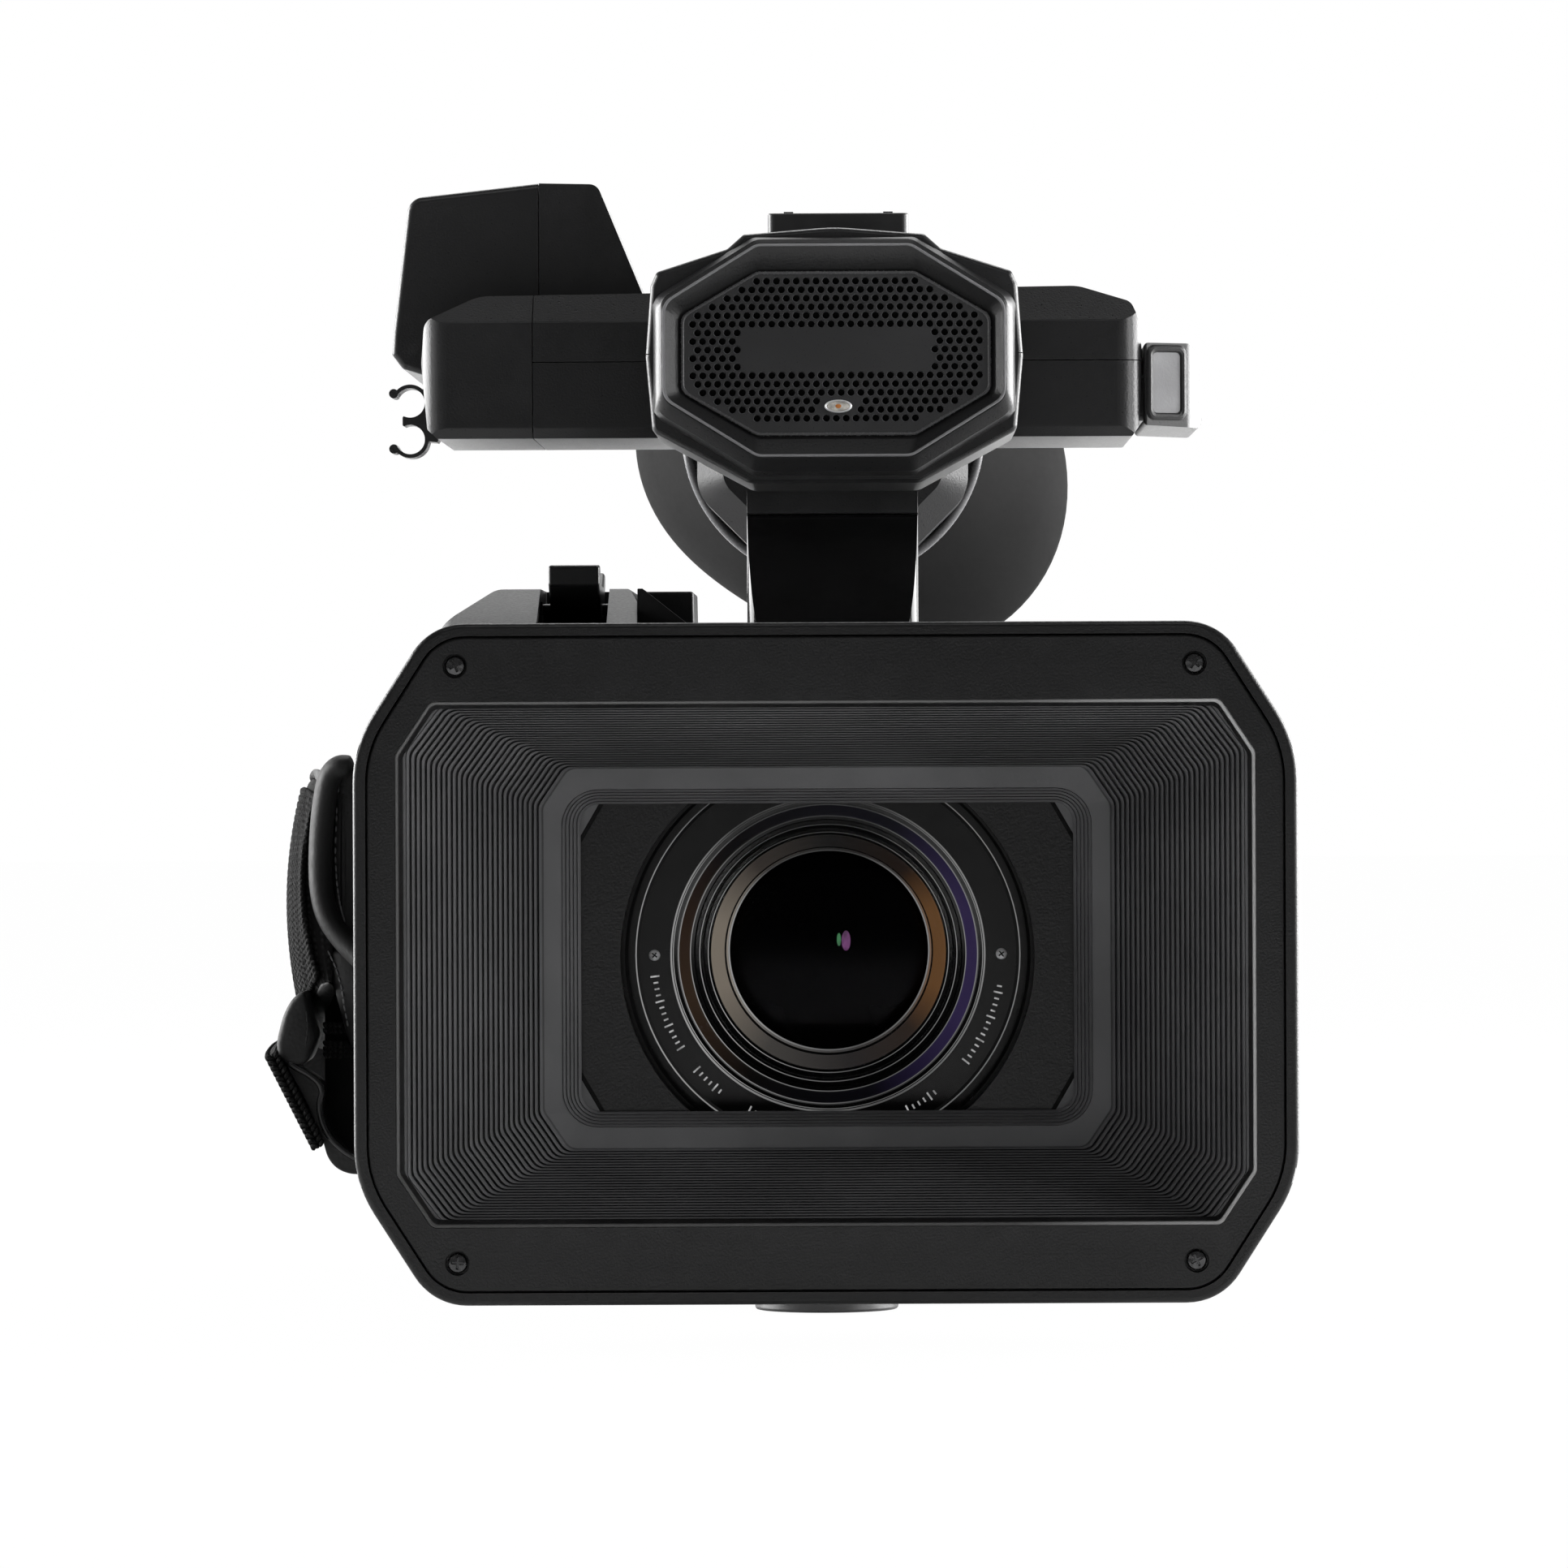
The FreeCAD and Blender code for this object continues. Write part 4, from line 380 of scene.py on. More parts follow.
# Material of every CAD node, shown or replaced.
FINISHES = [
    (case, "body_left_cover handle_lower_shell handle_upper_shell mic_bezel audio_cover cable_clamp "
           "evf_housing monitor_panel rear_panel card_door"),
    (grip_skin, "body_right_cover"),
    (hood_skin, "hood_shell hood_frame hood_baffle"),
    (leg_skin, "handle_front_leg"),
    (button_skin, "hood_release nd_switch user_button_1 user_button_2 audio_dial_1 audio_dial_2 jog_dial "
                  "zoom_rocker power_switch handle_zoom_rocker battery_release dioptre_dial"),
    (battery_skin, "battery"),
    (fan_skin, "fan_frame fan_rotor card_slots nd_wheel"),
    (base_skin, "base_plate"),
    (frame_skin, "chassis accessory_shoe evf_yoke"),
    (grille_skin, "mic_grille"),
    (socket_skin, "xlr_sockets"),
    (screw_skin, "base_screws hood_frame_screws"),
    (lens_skin, "lens_barrel name_ring zoom_carriage"),
    (inner_skin, "front_cell"),
    (lens_glass, "front_element zoom_lens eyepiece_lens"),
    (board_skin, "main_board sensor_board"),
    (ring_skin, "focus_ring zoom_ring iris_ring"),
    (cup_skin, "eyecup"),
    (flap_skin, "terminal_flap"),
    (leather, "strap_pad"),
    (webbing_cloth, "strap_webbing"),
    (red_skin, "record_button handle_record_button"),
    (screen_skin, "monitor_screen"),
    (lamp_glow, "tally_lamp"),
]
for finish, names in FINISHES:
    for name in names.split():
        NODES[name].data.materials.clear()
        NODES[name].data.materials.append(finish)


# Mesh building.
class Form:
    """Points in millimetres, with faces that each carry a material number."""

    def __init__(self):
        self.points = []
        self.faces = []
        self.kinds = []

    def add(self, points, faces, kind=0):
        """Adds a patch with its own face numbering."""
        start = len(self.points)
        self.points += [tuple(p) for p in points]
        self.faces += [tuple(start + i for i in face) for face in faces]
        self.kinds += [kind] * len(faces)

    def loft(self, loops, kind=0, ring=False, capped=True):
        """Skins loops of equal length. A ring joins the last to the first; otherwise the ends are capped."""
        size, count = len(loops[0]), len(loops)
        faces = []
        for row in range(count if ring else count - 1):
            here, there = row * size, (row + 1) % count * size
            for i in range(size):
                j = (i + 1) % size
                faces.append((here + i, here + j, there + j, there + i))
        if capped and not ring:
            faces.append(tuple(range(size)))
            faces.append(tuple(reversed(range((count - 1) * size, count * size))))
        self.add([p for loop in loops for p in loop], faces, kind)

    def turn(self, profile, count, centre=LENS_CENTRE, axis="Y", kind=0, swell=None):
        """Closed solid of revolution of (radius, height) points; swell(angle, index) adds to a radius."""
        loops = []
        for step in range(count):
            angle = TAU * step / count
            loop = []
            for index, (radius, height) in enumerate(profile):
                reach = radius + (swell(angle, index) if swell else 0.0)
                u, v = reach * math.cos(angle), reach * math.sin(angle)
                offset = {"X": (height, u, v), "Y": (u, height, v), "Z": (u, v, height)}[axis]
                loop.append(tuple(c + o for c, o in zip(centre, offset)))
            loops.append(loop)
        self.loft(loops, kind, ring=True)

    def slab(self, corners, low, high, axis="Y", kind=0):
        """Prism of flat corners between two heights on an axis."""
        loops = []
        for w in (low, high):
            loops.append([{"X": (w, u, v), "Y": (u, w, v), "Z": (u, v, w)}[axis] for u, v in corners])
        self.loft(loops, kind)


def settle(mesh, work, sharp_deg):
    """Turns faces outwards, smooths them, and keeps edges over an angle sharp."""
    bmesh.ops.recalc_face_normals(work, faces=work.faces)
    if sharp_deg:
        limit = math.radians(sharp_deg)
        for face in work.faces:
            face.smooth = True
        for edge in work.edges:
            edge.smooth = len(edge.link_faces) == 2 and edge.calc_face_angle(0.0) < limit
    work.to_mesh(mesh)
    work.free()


def piece(name, form, materials, body, replaced=(), sharp_deg=38.0):
    """Turns a form into an object that rides on a body and stands for CAD nodes."""
    mesh = bpy.data.meshes.new(name)
    mesh.from_pydata([(x * MM, y * MM, z * MM) for x, y, z in form.points], [], form.faces)
    for material in materials:
        mesh.materials.append(material)
    mesh.polygons.foreach_set("material_index", form.kinds)
    work = bmesh.new()
    work.from_mesh(mesh)
    settle(mesh, work, sharp_deg)
    made = bpy.data.objects.new(name, mesh)
    bpy.context.scene.collection.objects.link(made)
    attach(made, body)
    if replaced:
        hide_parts(*replaced)
    return made


def weld(made, distance):
    """Joins doubled points."""
    work = bmesh.new()
    work.from_mesh(made.data)
    bmesh.ops.remove_doubles(work, verts=work.verts, dist=distance)
    settle(made.data, work, None)


def octagon(half_x, half_z, cut_x, cut_z):
    """Corners of a rectangle with its corners cut, anticlockwise."""
    flat_x, flat_z = half_x - cut_x, half_z - cut_z
    half = [(half_x, -flat_z), (half_x, flat_z), (flat_x, half_z), (-flat_x, half_z)]
    return half + [(-x, -z) for x, z in half]


def circle(count):
    """Unit spokes, anticlockwise."""
    return [(math.cos(TAU * i / count), math.sin(TAU * i / count)) for i in range(count)]


def rounded(corners, radius, steps=5):
    """Flat outline with each corner turned into an arc of a given radius."""
    result = []
    for i, (x, z) in enumerate(corners):
        corner = Vector((x, z))
        back = (Vector(corners[i - 1]) - corner).normalized()
        ahead = (Vector(corners[(i + 1) % len(corners)]) - corner).normalized()
        half = back.angle(ahead) / 2
        centre = corner + (back + ahead).normalized() * radius / math.sin(half)
        first = corner + back * radius / math.tan(half) - centre
        last = corner + ahead * radius / math.tan(half) - centre
        for step in range(steps):
            share = step / (steps - 1)
            spoke = (first * (1 - share) + last * share).normalized() * radius
            result.append(tuple(centre + spoke))
    return result


def shrunk(corners, distance):
    """Polygon with every edge moved inwards; corners run anticlockwise."""
    result = []
    for i, corner in enumerate(corners):
        corner = Vector(corner)
        back = (corner - Vector(corners[i - 1])).normalized()
        ahead = (Vector(corners[(i + 1) % len(corners)]) - corner).normalized()
        inward = Vector((-back.y - ahead.y, back.x + ahead.x)).normalized()
        result.append(tuple(corner + inward * distance / Vector((-back.y, back.x)).dot(inward)))
    return result


def mix(a, b, share):
    """Blend of two equal-length tuples."""
    return tuple(p + (q - p) * share for p, q in zip(a, b))


def lip(form, corners, centre, radius, y, size, kind=0):
    """Thin rounded bead along an octagonal edge."""
    loops = []
    for u, v in circle(8):
        outline = rounded(shrunk(corners, size * u), radius, 7)
        loops.append([(x + centre[0], y + size * v, z + centre[1]) for x, z in outline])
    form.loft(loops, kind, ring=True)


def tick(angle, inner, outer, half, centre=(0.0, 0.0)):
    """Corners of a short bar that points away from a centre."""
    c, s = math.cos(angle), math.sin(angle)
    reaches = ((inner, half), (outer, half), (outer, -half), (inner, -half))
    return [(centre[0] + reach * c + side * s, centre[1] + reach * s - side * c) for reach, side in reaches]


# Hood.
def mouth_loop(size, radius, y):
    """Rounded octagon loop about the lens axis, from (half width, half height, cut across, cut up)."""
    return [(x, y, LENS_Z + z) for x, z in rounded(octagon(*size), radius)]


def hood_funnel():
    """Ribbed funnel from the frame plate to the mask, with a plain border and five fine steps at its end; its
    plastic is painted pale as painted light, with painted shade in the grooves between ribs.
    """
    ribs, front, depth = 27, HOOD_FRONT + 5.0, 33.0
    wide, narrow = (66.9, 41.2, 5.6, 7.3), (46.25, 31.0, 4.2, 6.2)
    rib_profile = [(0.0, 0.0), (0.14, 0.9), (0.5, 0.9), (0.64, 0.0)]     # (share of the pitch, height)
    loops = [mouth_loop(wide, 2.2, HOOD_FRONT + 3.6)]
    for rib in range(ribs):
        for place, lift in rib_profile:
            share = (rib + place) / ribs
            loops.append(mouth_loop(mix(wide, narrow, share), 2.2, front + depth * share - lift))
    loops.append(mouth_loop(narrow, 2.2, front + depth))
    border, mask = (43.3, 27.6, 3.5, 3.5), (40.35, 25.2, 1.85, 1.85)
    border_radius, mask_radius, mask_y = 5.9, 3.1, HOOD_FRONT + 43.0
    loops.append(mouth_loop(border, border_radius, HOOD_FRONT + 38.6))
    steps = 5
    for step in range(steps):
        for place, lift in ((0.0, 0.0), (0.22, 0.45), (0.6, 0.45), (0.82, 0.0)):
            share = (step + place) / steps
            radius = border_radius + (mask_radius - border_radius) * share
            loops.append(mouth_loop(mix(border, mask, share), radius, HOOD_FRONT + 38.7 + 4.2 * share - lift))
    flange = (HOOD_HALF[0] - 2.4, HOOD_HALF[1] - 2.4, 11.6, 18.2)
    for size, radius, y in ((mask, mask_radius, mask_y), ((40.6, 25.5, 1.9, 1.9), mask_radius, mask_y + 0.7),
                            ((48.5, 33.2, 5.2, 7.2), 3.0, mask_y + 0.7),
                            ((48.5, 33.2, 5.2, 7.2), 3.0, HOOD_FRONT + 38.6),
                            ((69.0, 43.4, 6.4, 8.8), 3.0, HOOD_FRONT + 5.2),
                            (flange, 7.0, HOOD_FRONT + 5.2), (flange, 7.0, HOOD_FRONT + 3.6)):
        loops.append(mouth_loop(size, radius, y))
    form = Form()
    form.loft(loops, ring=True)
    sides = len(loops[0])
    # The flat band between each pair of ribs takes the darker plastic: painted shade in the grooves.
    for rib in range(1, ribs + 1):
        form.kinds[4 * rib * sides:(4 * rib + 1) * sides] = [2] * sides
    # Mask corners: a triangle of the funnel's plastic, and along its diagonal a black strip that is painted
    # shade standing in for the gap there.
    corner = ((41.2, 26.0), (36.9, 26.0), (41.2, 18.6))
    gap = ((36.9, 26.0), (36.1, 26.0), (41.2, 17.2), (41.2, 18.6))
    for side in (-1, 1):
        for up in (-1, 1):
            for outline, behind, kind in ((corner, 0.72, 0), (gap, 0.74, 1)):
                flat = [(side * x, LENS_Z + up * z) for x, z in outline]
                form.slab(flat, mask_y + behind, mask_y + 0.9, "Y", kind)
    piece("hood_funnel", form, [funnel_lit_skin, foam_and_shade_skin, groove_shade_skin], "hood", ["hood_baffle"],
          30.0)


def hood_edges():
    """Thin polished beads carrying a painted highlight: one round the opening of the frame plate and one
    round the outside of the hood.
    """
    form = Form()
    opening = octagon(68.3, 41.7, 5.6, 8.4)
    outside = octagon(HOOD_HALF[0] - 0.75, HOOD_HALF[1] - 0.75, 12.2, 19.2)
    lip(form, opening, (0.0, LENS_Z), 1.6, HOOD_FRONT + 0.95, 0.42)
    lip(form, outside, (0.0, LENS_Z), 7.0, HOOD_FRONT + 0.5, 0.28)
    piece("hood_edges", form, [frame_edge_highlight_skin], "hood", (), 25.0)


def cross_screw(form, x, y, z, radius, turn_deg, kind=0):
    """Pan head facing the front with a deep cross recess, standing on the plane y."""
    arm, half = radius * 0.62, radius * 0.13
    cross = [(half, half), (arm, half), (arm, -half), (half, -half), (half, -arm), (-half, -arm),
             (-half, -half), (-arm, -half), (-arm, half), (-half, half), (-half, arm), (half, arm)]
    doubled = []
    for index, (u, v) in enumerate(cross):
        after = cross[(index + 1) % len(cross)]
        doubled += [(u, v), ((u + after[0]) / 2, (v + after[1]) / 2)]
    turned = math.radians(turn_deg)
    c, s = math.cos(turned), math.sin(turned)
    cross = [(u * c - v * s, u * s + v * c) for u, v in doubled]
    angles = [math.radians(45) + turned - TAU * i / len(cross) for i in range(len(cross))]
    rim = [(radius * math.cos(angle), radius * math.sin(angle)) for angle in angles]
    rows = [(rim, 1.0, 0.0), (rim, 1.0, -0.22), (rim, 0.86, -0.42), (cross, 1.0, -0.5), (cross, 0.8, 0.2)]
    loops = []
    for flat, size, rise in rows:
        loops.append([(x + u * size, y + radius * rise, z + v * size) for u, v in flat])
    form.loft(loops, kind)


def hood_screws():
    """Four cross-head screws that hold the frame, each turned its own way, with their shanks."""
    form = Form()
    for index, (side, up) in enumerate(((-1, 1), (1, 1), (-1, -1), (1, -1))):
        x, z = side * 58.8, LENS_Z + up * 47.5
        cross_screw(form, x, HOOD_FRONT + 1.5, z, 1.6, 24 + 31 * index)
        form.turn([(1.0, 1.5), (1.0, 8.6), (0.3, 8.6), (0.3, 1.5)], 24, (x, HOOD_FRONT + 0.4, z))
    piece("hood_screws", form, [screw_skin], "hood", ["hood_frame_screws"], 25.0)


# Lens.
def lens_rings():
    """Knurled focus, zoom and iris rings."""
    spans = {"focus": (-87.3, -58.7, 120, 0.5),
             "zoom": (-56.8, -38.7, 72, 0.7),
             "iris": (-36.8, -22.2, 96, 0.45)}
    bore, outside = 38.56, 44.4
    for name, (low, high, ribs, depth) in spans.items():
        profile = [(bore, low), (outside - 0.7, low), (outside - 0.1, low + 0.7), (outside - 0.1, low + 2.2),
                   (outside, low + 2.9), (outside, high - 2.9), (outside - 0.1, high - 2.2),
                   (outside - 0.1, high - 0.7), (outside - 0.7, high), (bore, high)]

        def swell(angle, index, ribs=ribs, depth=depth):
            wave = math.cos(angle * ribs)
            return -depth * (wave > 0.1) if index in (4, 5) else 0.0

        form = Form()
        form.turn(profile, ribs * 6, swell=swell)
        if name == "zoom":
            lever = [(0.01, 42.0), (2.6, 42.0), (2.2, 49.8), (2.9, 50.8), (2.9, 52.4), (2.3, 53.2),
                     (0.01, 53.2)]
            form.turn(lever, 32, (0.0, (low + high) / 2, LENS_Z), "X")
            for step in range(5):
                angle = math.radians(70 + 10 * step)
                u, w = (outside + 0.05) * math.cos(angle), (outside + 0.05) * math.sin(angle)
                left, right, near, far = u - 0.25, u + 0.25, low + 0.9, low + 2.0
                mark = [(left, near), (right, near), (right, far), (left, far)]
                form.slab(mark, LENS_Z + w - 0.6, LENS_Z + w, "Z", 1)
        node_name = name + "_ring"
        piece(node_name + "_knurled", form, [ring_skin, mark_skin], node_name, [node_name])


def front_cell():
    """Black steps from the name ring to the glass, with a band and a cone round the opening that glow with
    painted coloured reflections, and painted highlights on the step edges.
    """
    form = Form()
    form.turn([(25.7, -88.3), (25.6, -87.5), (25.1, -87.3), (24.9, -86.4), (24.9, -83.4), (29.8, -83.4),
               (29.8, -88.3)], 160)
    form.turn([(24.85, -86.3), (22.95, -83.3), (22.95, -82.9), (24.85, -82.9)], 160, kind=3)
    form.turn([(22.9, -83.2), (22.9, -81.0), (22.4, -80.8), (22.2, -79.2), (21.7, -79.0), (21.5, -77.4),
               (21.1, -77.2), (20.8, -75.2), (20.3, -75.0), (20.1, -73.4), (19.7, -73.2), (19.7, -70.6),
               (29.8, -70.6), (29.8, -82.8), (23.0, -82.8)], 160)
    form.turn([(19.6, -72.4), (19.0, -69.6), (18.0, -66.8), (17.6, -65.9), (17.6, -64.2), (29.8, -64.2),
               (29.8, -70.4), (19.6, -70.4)], 160, kind=1)
    for radius, y in ((25.75, -88.35), (24.9, -86.55), (23.0, -83.5), (21.55, -79.15), (20.2, -75.15)):
        form.turn([(radius, y), (radius - 0.14, y + 0.1), (radius, y + 0.2)], 160, kind=2)
    piece("front_cell_steps", form, [inner_skin, cone_reflection_skin, lens_highlight_skin, violet_reflection_skin],
          "camera_body", ["front_cell"], 20.0)


def dome(radius, rim_y, rise, back_y):
    """Half profile of a shallow spherical cap that bulges to the front, closed by a flat back."""
    rings = 14
    ball = (radius * radius + rise * rise) / (2 * rise)
    profile = []
    for step in range(rings + 1):
        reach = max(radius * step / rings, 0.01)
        profile.append((reach, rim_y - rise + ball - math.sqrt(ball * ball - reach * reach)))
    return profile + [(radius, back_y), (0.01, back_y)]


def glasses():
    """Front element, and the zoom group's glass painted near black as painted shade, with painted glints, a
    painted highlight round its rim and a painted reflection on the ring round it.
    """
    form = Form()
    form.turn(dome(22.4, -79.4, 5.2, -78.4), 128)
    piece("front_glass", form, [lens_glass], "camera_body", ["front_element"], 30.0)
    form = Form()
    form.turn(dome(16.75, -58.2, 1.3, -58.1), 128)
    form.turn([(16.8, -58.5), (16.92, -58.75), (17.05, -58.5), (17.05, -58.1), (16.8, -58.1)], 128, kind=4)
    form.turn([(17.35, -59.6), (17.1, -58.4), (17.1, -58.1), (17.35, -58.1)], 128, kind=5)
    for place, lift, half_x, half_z, kind in ((2.9, 1.6, 0.75, 1.7, 2), (1.7, 1.8, 0.35, 1.1, 3)):
        spot = [(place + half_x * c, LENS_Z + lift + half_z * s) for c, s in circle(24)]
        form.slab(spot, -59.75, -59.3, "Y", kind)
    piece("zoom_glass", form, [shaded_deep_glass, inner_skin, violet_painted_glint, green_painted_glint, lens_highlight_skin, cone_reflection_skin],
          "zoom_carriage", ["zoom_lens"], 30.0)


def name_ring():
    """Flat ring in front of the glass, with a painted highlight on an edge at each side, two screws and plain
    white index ticks that also glow as painted light.
    """
    form = Form()
    form.turn([(25.9, -90.1), (26.2, -90.4), (31.2, -90.4), (31.7, -89.9), (31.7, -88.6), (25.9, -88.6)], 180)
    form.turn([(31.72, -90.2), (31.85, -90.5), (32.0, -90.5), (32.1, -90.2), (32.0, -88.6), (31.75, -88.6)],
              180, kind=1)
    form.turn([(25.85, -90.4), (25.98, -90.55), (26.12, -90.4), (26.1, -89.0), (25.87, -89.0)], 180, kind=1)
    for side in (-1, 1):
        cross_screw(form, side * 28.75, -90.35, LENS_Z, 0.95, 38 * side, 3)
    middle, pitch_deg = 28.9, 2.1
    groups = ((187, 13), (221, 6), (243, 4), (284, 3), (297, 6), (322, 14))
    for start, count in groups:     # angle of the first tick in degrees, and how many ticks
        for step in range(count):
            length = 0.8 if step % 4 else 1.5
            angle = math.radians(start + pitch_deg * step)
            mark = tick(angle, middle - length / 2, middle + length / 2, 0.14, (0.0, LENS_Z))
            form.slab(mark, -90.46, -90.3, "Y", 2)
    piece("name_ring_marked", form, [lens_skin, lens_highlight_skin, ring_mark_skin, small_screw_skin],
          "camera_body", ["name_ring"], 25.0)


def filter_thread():
    """Fine thread inside the barrel's front edge and the land behind it."""
    form = Form()
    turns, pitch = 6, 0.75
    profile = [(33.48, -95.7)]
    for step in range(turns):
        y = -95.6 + pitch * step
        profile += [(33.05, y + 0.3), (33.4, y + 0.62)]
    form.turn(profile + [(33.48, -91.0)], 180)
    form.turn([(33.4, -90.95), (32.2, -90.9), (32.2, -90.6), (33.4, -90.6)], 180)
    piece("filter_thread", form, [lens_skin], "camera_body", (), 20.0)


# Microphone.
NOSE_FRONT = [(-12.7, 139.3), (15.6, 139.3), (31.8, 148.0), (32.9, 160.4), (32.0, 172.3), (31.0, 174.6),
              (19.2, 178.4), (16.5, 180.8), (1.45, 182.0), (-13.6, 180.8), (-16.3, 178.4), (-28.1, 174.6),
              (-29.1, 172.3), (-30.0, 160.4), (-28.9, 148.0)]
BEZEL_CENTRE, MOUTH_CENTRE, MIC_CENTRE = (NOSE_X, 160.4), (NOSE_X, 161.3), (NOSE_X + 0.3, 160.8)
MIC_PLATE = octagon(25.5, 13.4, 12.4, 7.2)
MIC_MOUTH = (28.3, 17.5, 15.5, 9.6)
LAMP = (2.1, 152.0)             # across and up


def mic_bezel():
    """Frame round the grille on a thin plate: a soft flank, a narrow face, and a mouth sloping inwards,
    ringed by a pale bead that is a painted highlight.
    """
    grille_edge = (25.62, 13.55, 12.5, 7.3)
    rows = [((30.2, 19.9, 16.6, 10.0), BEZEL_CENTRE, 3.0, -84.05),
            ((30.0, 19.7, 16.6, 10.0), BEZEL_CENTRE, 3.0, -85.2),
            ((29.6, 19.2, 16.4, 10.0), BEZEL_CENTRE, 3.4, -86.6),
            ((28.9, 18.4, 15.9, 9.8), MOUTH_CENTRE, 3.4, -87.7),
            ((28.6, 17.9, 15.7, 9.7), MOUTH_CENTRE, 3.2, -87.95),
            (MIC_MOUTH, MOUTH_CENTRE, 3.0, -87.9),
            ((26.0, 14.1, 12.8, 7.5), MIC_CENTRE, 2.2, -86.0),
            (grille_edge, MIC_CENTRE, 2.0, -85.6),
            (grille_edge, MIC_CENTRE, 2.0, -84.05)]
    loops = []
    for size, centre, radius, y in rows:
        outline = rounded(octagon(*size), radius, 7)
        loops.append([(x + centre[0], y, z + centre[1]) for x, z in outline])
    form = Form()
    form.loft(loops, ring=True)
    # Pale bead round the mouth: painted highlight.
    lip(form, octagon(*MIC_MOUTH), MOUTH_CENTRE, 3.0, -87.92, 0.24, 1)
    form.slab(shrunk(NOSE_FRONT, 0.7), -84.4, -84.02)
    piece("mic_bezel_shaped", form, [case, edge_highlight_skin], "camera_body", ["mic_bezel"], 25.0)


def mic_holes():
    """Centres of the grille holes: seventeen staggered rows with a blank middle and a gap for the lamp."""
    rows, low, row_step, pitch = 17, 150.05, 1.425, 1.643
    holes = []
    for row in range(rows):
        z = low + row_step * row
        from_end = min(row, rows - 1 - row)
        limit = min(8.2 + 1.5 * from_end + (1.0 if 0 < row < 8 else 0.0), 14.6)
        for step in range(-30, 31):
            place = step / 2
            if (step + row) % 2 or abs(place) > limit:
                continue
            x = MIC_CENTRE[0] + pitch * place
            blank = abs(place) < 9.9 and 158.0 < z < 164.9
            lamp = abs(x - LAMP[0]) < 3.6 and abs(z - LAMP[1] - 0.1) < 1.4
            if not blank and not lamp:
                holes.append((x, z))
    return holes


def mic_plate():
    """Perforated metal plate with chamfered holes and a blank centre, over dark foam; the chamfers and the
    plate's edge bead are painted paler as painted highlights.
    """
    front, thick, chamfer, wide, narrow, sides = -86.4, 0.7, 0.2, 0.72, 0.58, 12
    outline = [(x + MIC_CENTRE[0], z + MIC_CENTRE[1]) for x, z in rounded(MIC_PLATE, 2.0)]
    holes = mic_holes()
    spokes = circle(sides)
    flat = list(outline)
    rings = [list(range(len(outline)))]
    for x, z in holes:
        start = len(flat)
        flat += [(x + wide * c, z + wide * s) for c, s in spokes]
        rings.append(list(range(start, start + sides)))
    edges = [(ring[i - 1], ring[i]) for ring in rings for i in range(len(ring))]
    points, _, faces, origin, _, _ = delaunay_2d_cdt([Vector(p) for p in flat], edges, [], 1, 1e-6)
    kept = []
    for face in faces:
        middle = sum((points[i] for i in face), Vector((0.0, 0.0))) / len(face)
        nearest = min(math.hypot(middle.x - x, middle.y - z) for x, z in holes)
        if nearest > wide * 0.93:
            kept.append(tuple(face))

    def narrowed(index):
        if index < len(outline):
            return flat[index]
        x, z = holes[(index - len(outline)) // sides]
        c, s = spokes[(index - len(outline)) % sides]
        return (x + narrow * c, z + narrow * s)

    form = Form()
    form.add([(p.x, front, p.y) for p in points], kept)
    behind = [narrowed(sources[0]) for sources in origin]
    form.add([(x, front + thick, z) for x, z in behind], kept)
    for ring in rings:
        there = [narrowed(i) for i in ring]
        sunk = [(x, front + chamfer, z) for x, z in there]
        form.loft([[(flat[i][0], front, flat[i][1]) for i in ring], sunk], 2, capped=False)
        form.loft([sunk, [(x, front + thick, z) for x, z in there]], capped=False)
    backing = rounded(shrunk(MIC_PLATE, 0.1), 2.0)
    form.slab([(x + MIC_CENTRE[0], z + MIC_CENTRE[1]) for x, z in backing], front + 1.2, front + 1.6, "Y", 1)
    capsule = [(0.01, 0.0), (5.0, 0.0), (5.0, 11.0), (0.01, 11.0)]
    for side in (-14, 14):
        form.turn(capsule, 32, (NOSE_X + side, front + 1.7, 161.5), "Y", 1)
    lip(form, MIC_PLATE, MIC_CENTRE, 2.0, front + 0.1, 0.3, 2)
    made = piece("mic_plate", form, [grille_skin, foam_and_shade_skin, chamfer_highlight_skin], "camera_body",
                 ["mic_grille"], 60.0)
    weld(made, 0.00001)


def tally():
    """Oval lamp lens with a warm core in a thin metal rim."""
    front = -87.3

    def ovals(*rows):
        return [[(LAMP[0] + wide * c, front + deep, LAMP[1] + tall * s) for c, s in circle(40)]
                for wide, tall, deep in rows]

    form = Form()
    rim = ovals((2.3, 1.1, 3.0), (2.3, 1.1, 0.5), (2.1, 0.95, 0.3), (1.9, 0.8, 0.5), (1.9, 0.8, 3.0))
    form.loft(rim, 1, ring=True)
    form.loft(ovals((1.85, 0.75, 3.0), (1.85, 0.75, 0.8), (1.3, 0.5, 0.45), (0.4, 0.16, 0.35)))
    form.loft(ovals((0.5, 0.36, 0.5), (0.5, 0.36, 0.25), (0.3, 0.2, 0.15)), 2)
    piece("tally_lens", form, [lamp_glow, rim_metal, amber_skin], "camera_body",
          ["tally_lamp"])


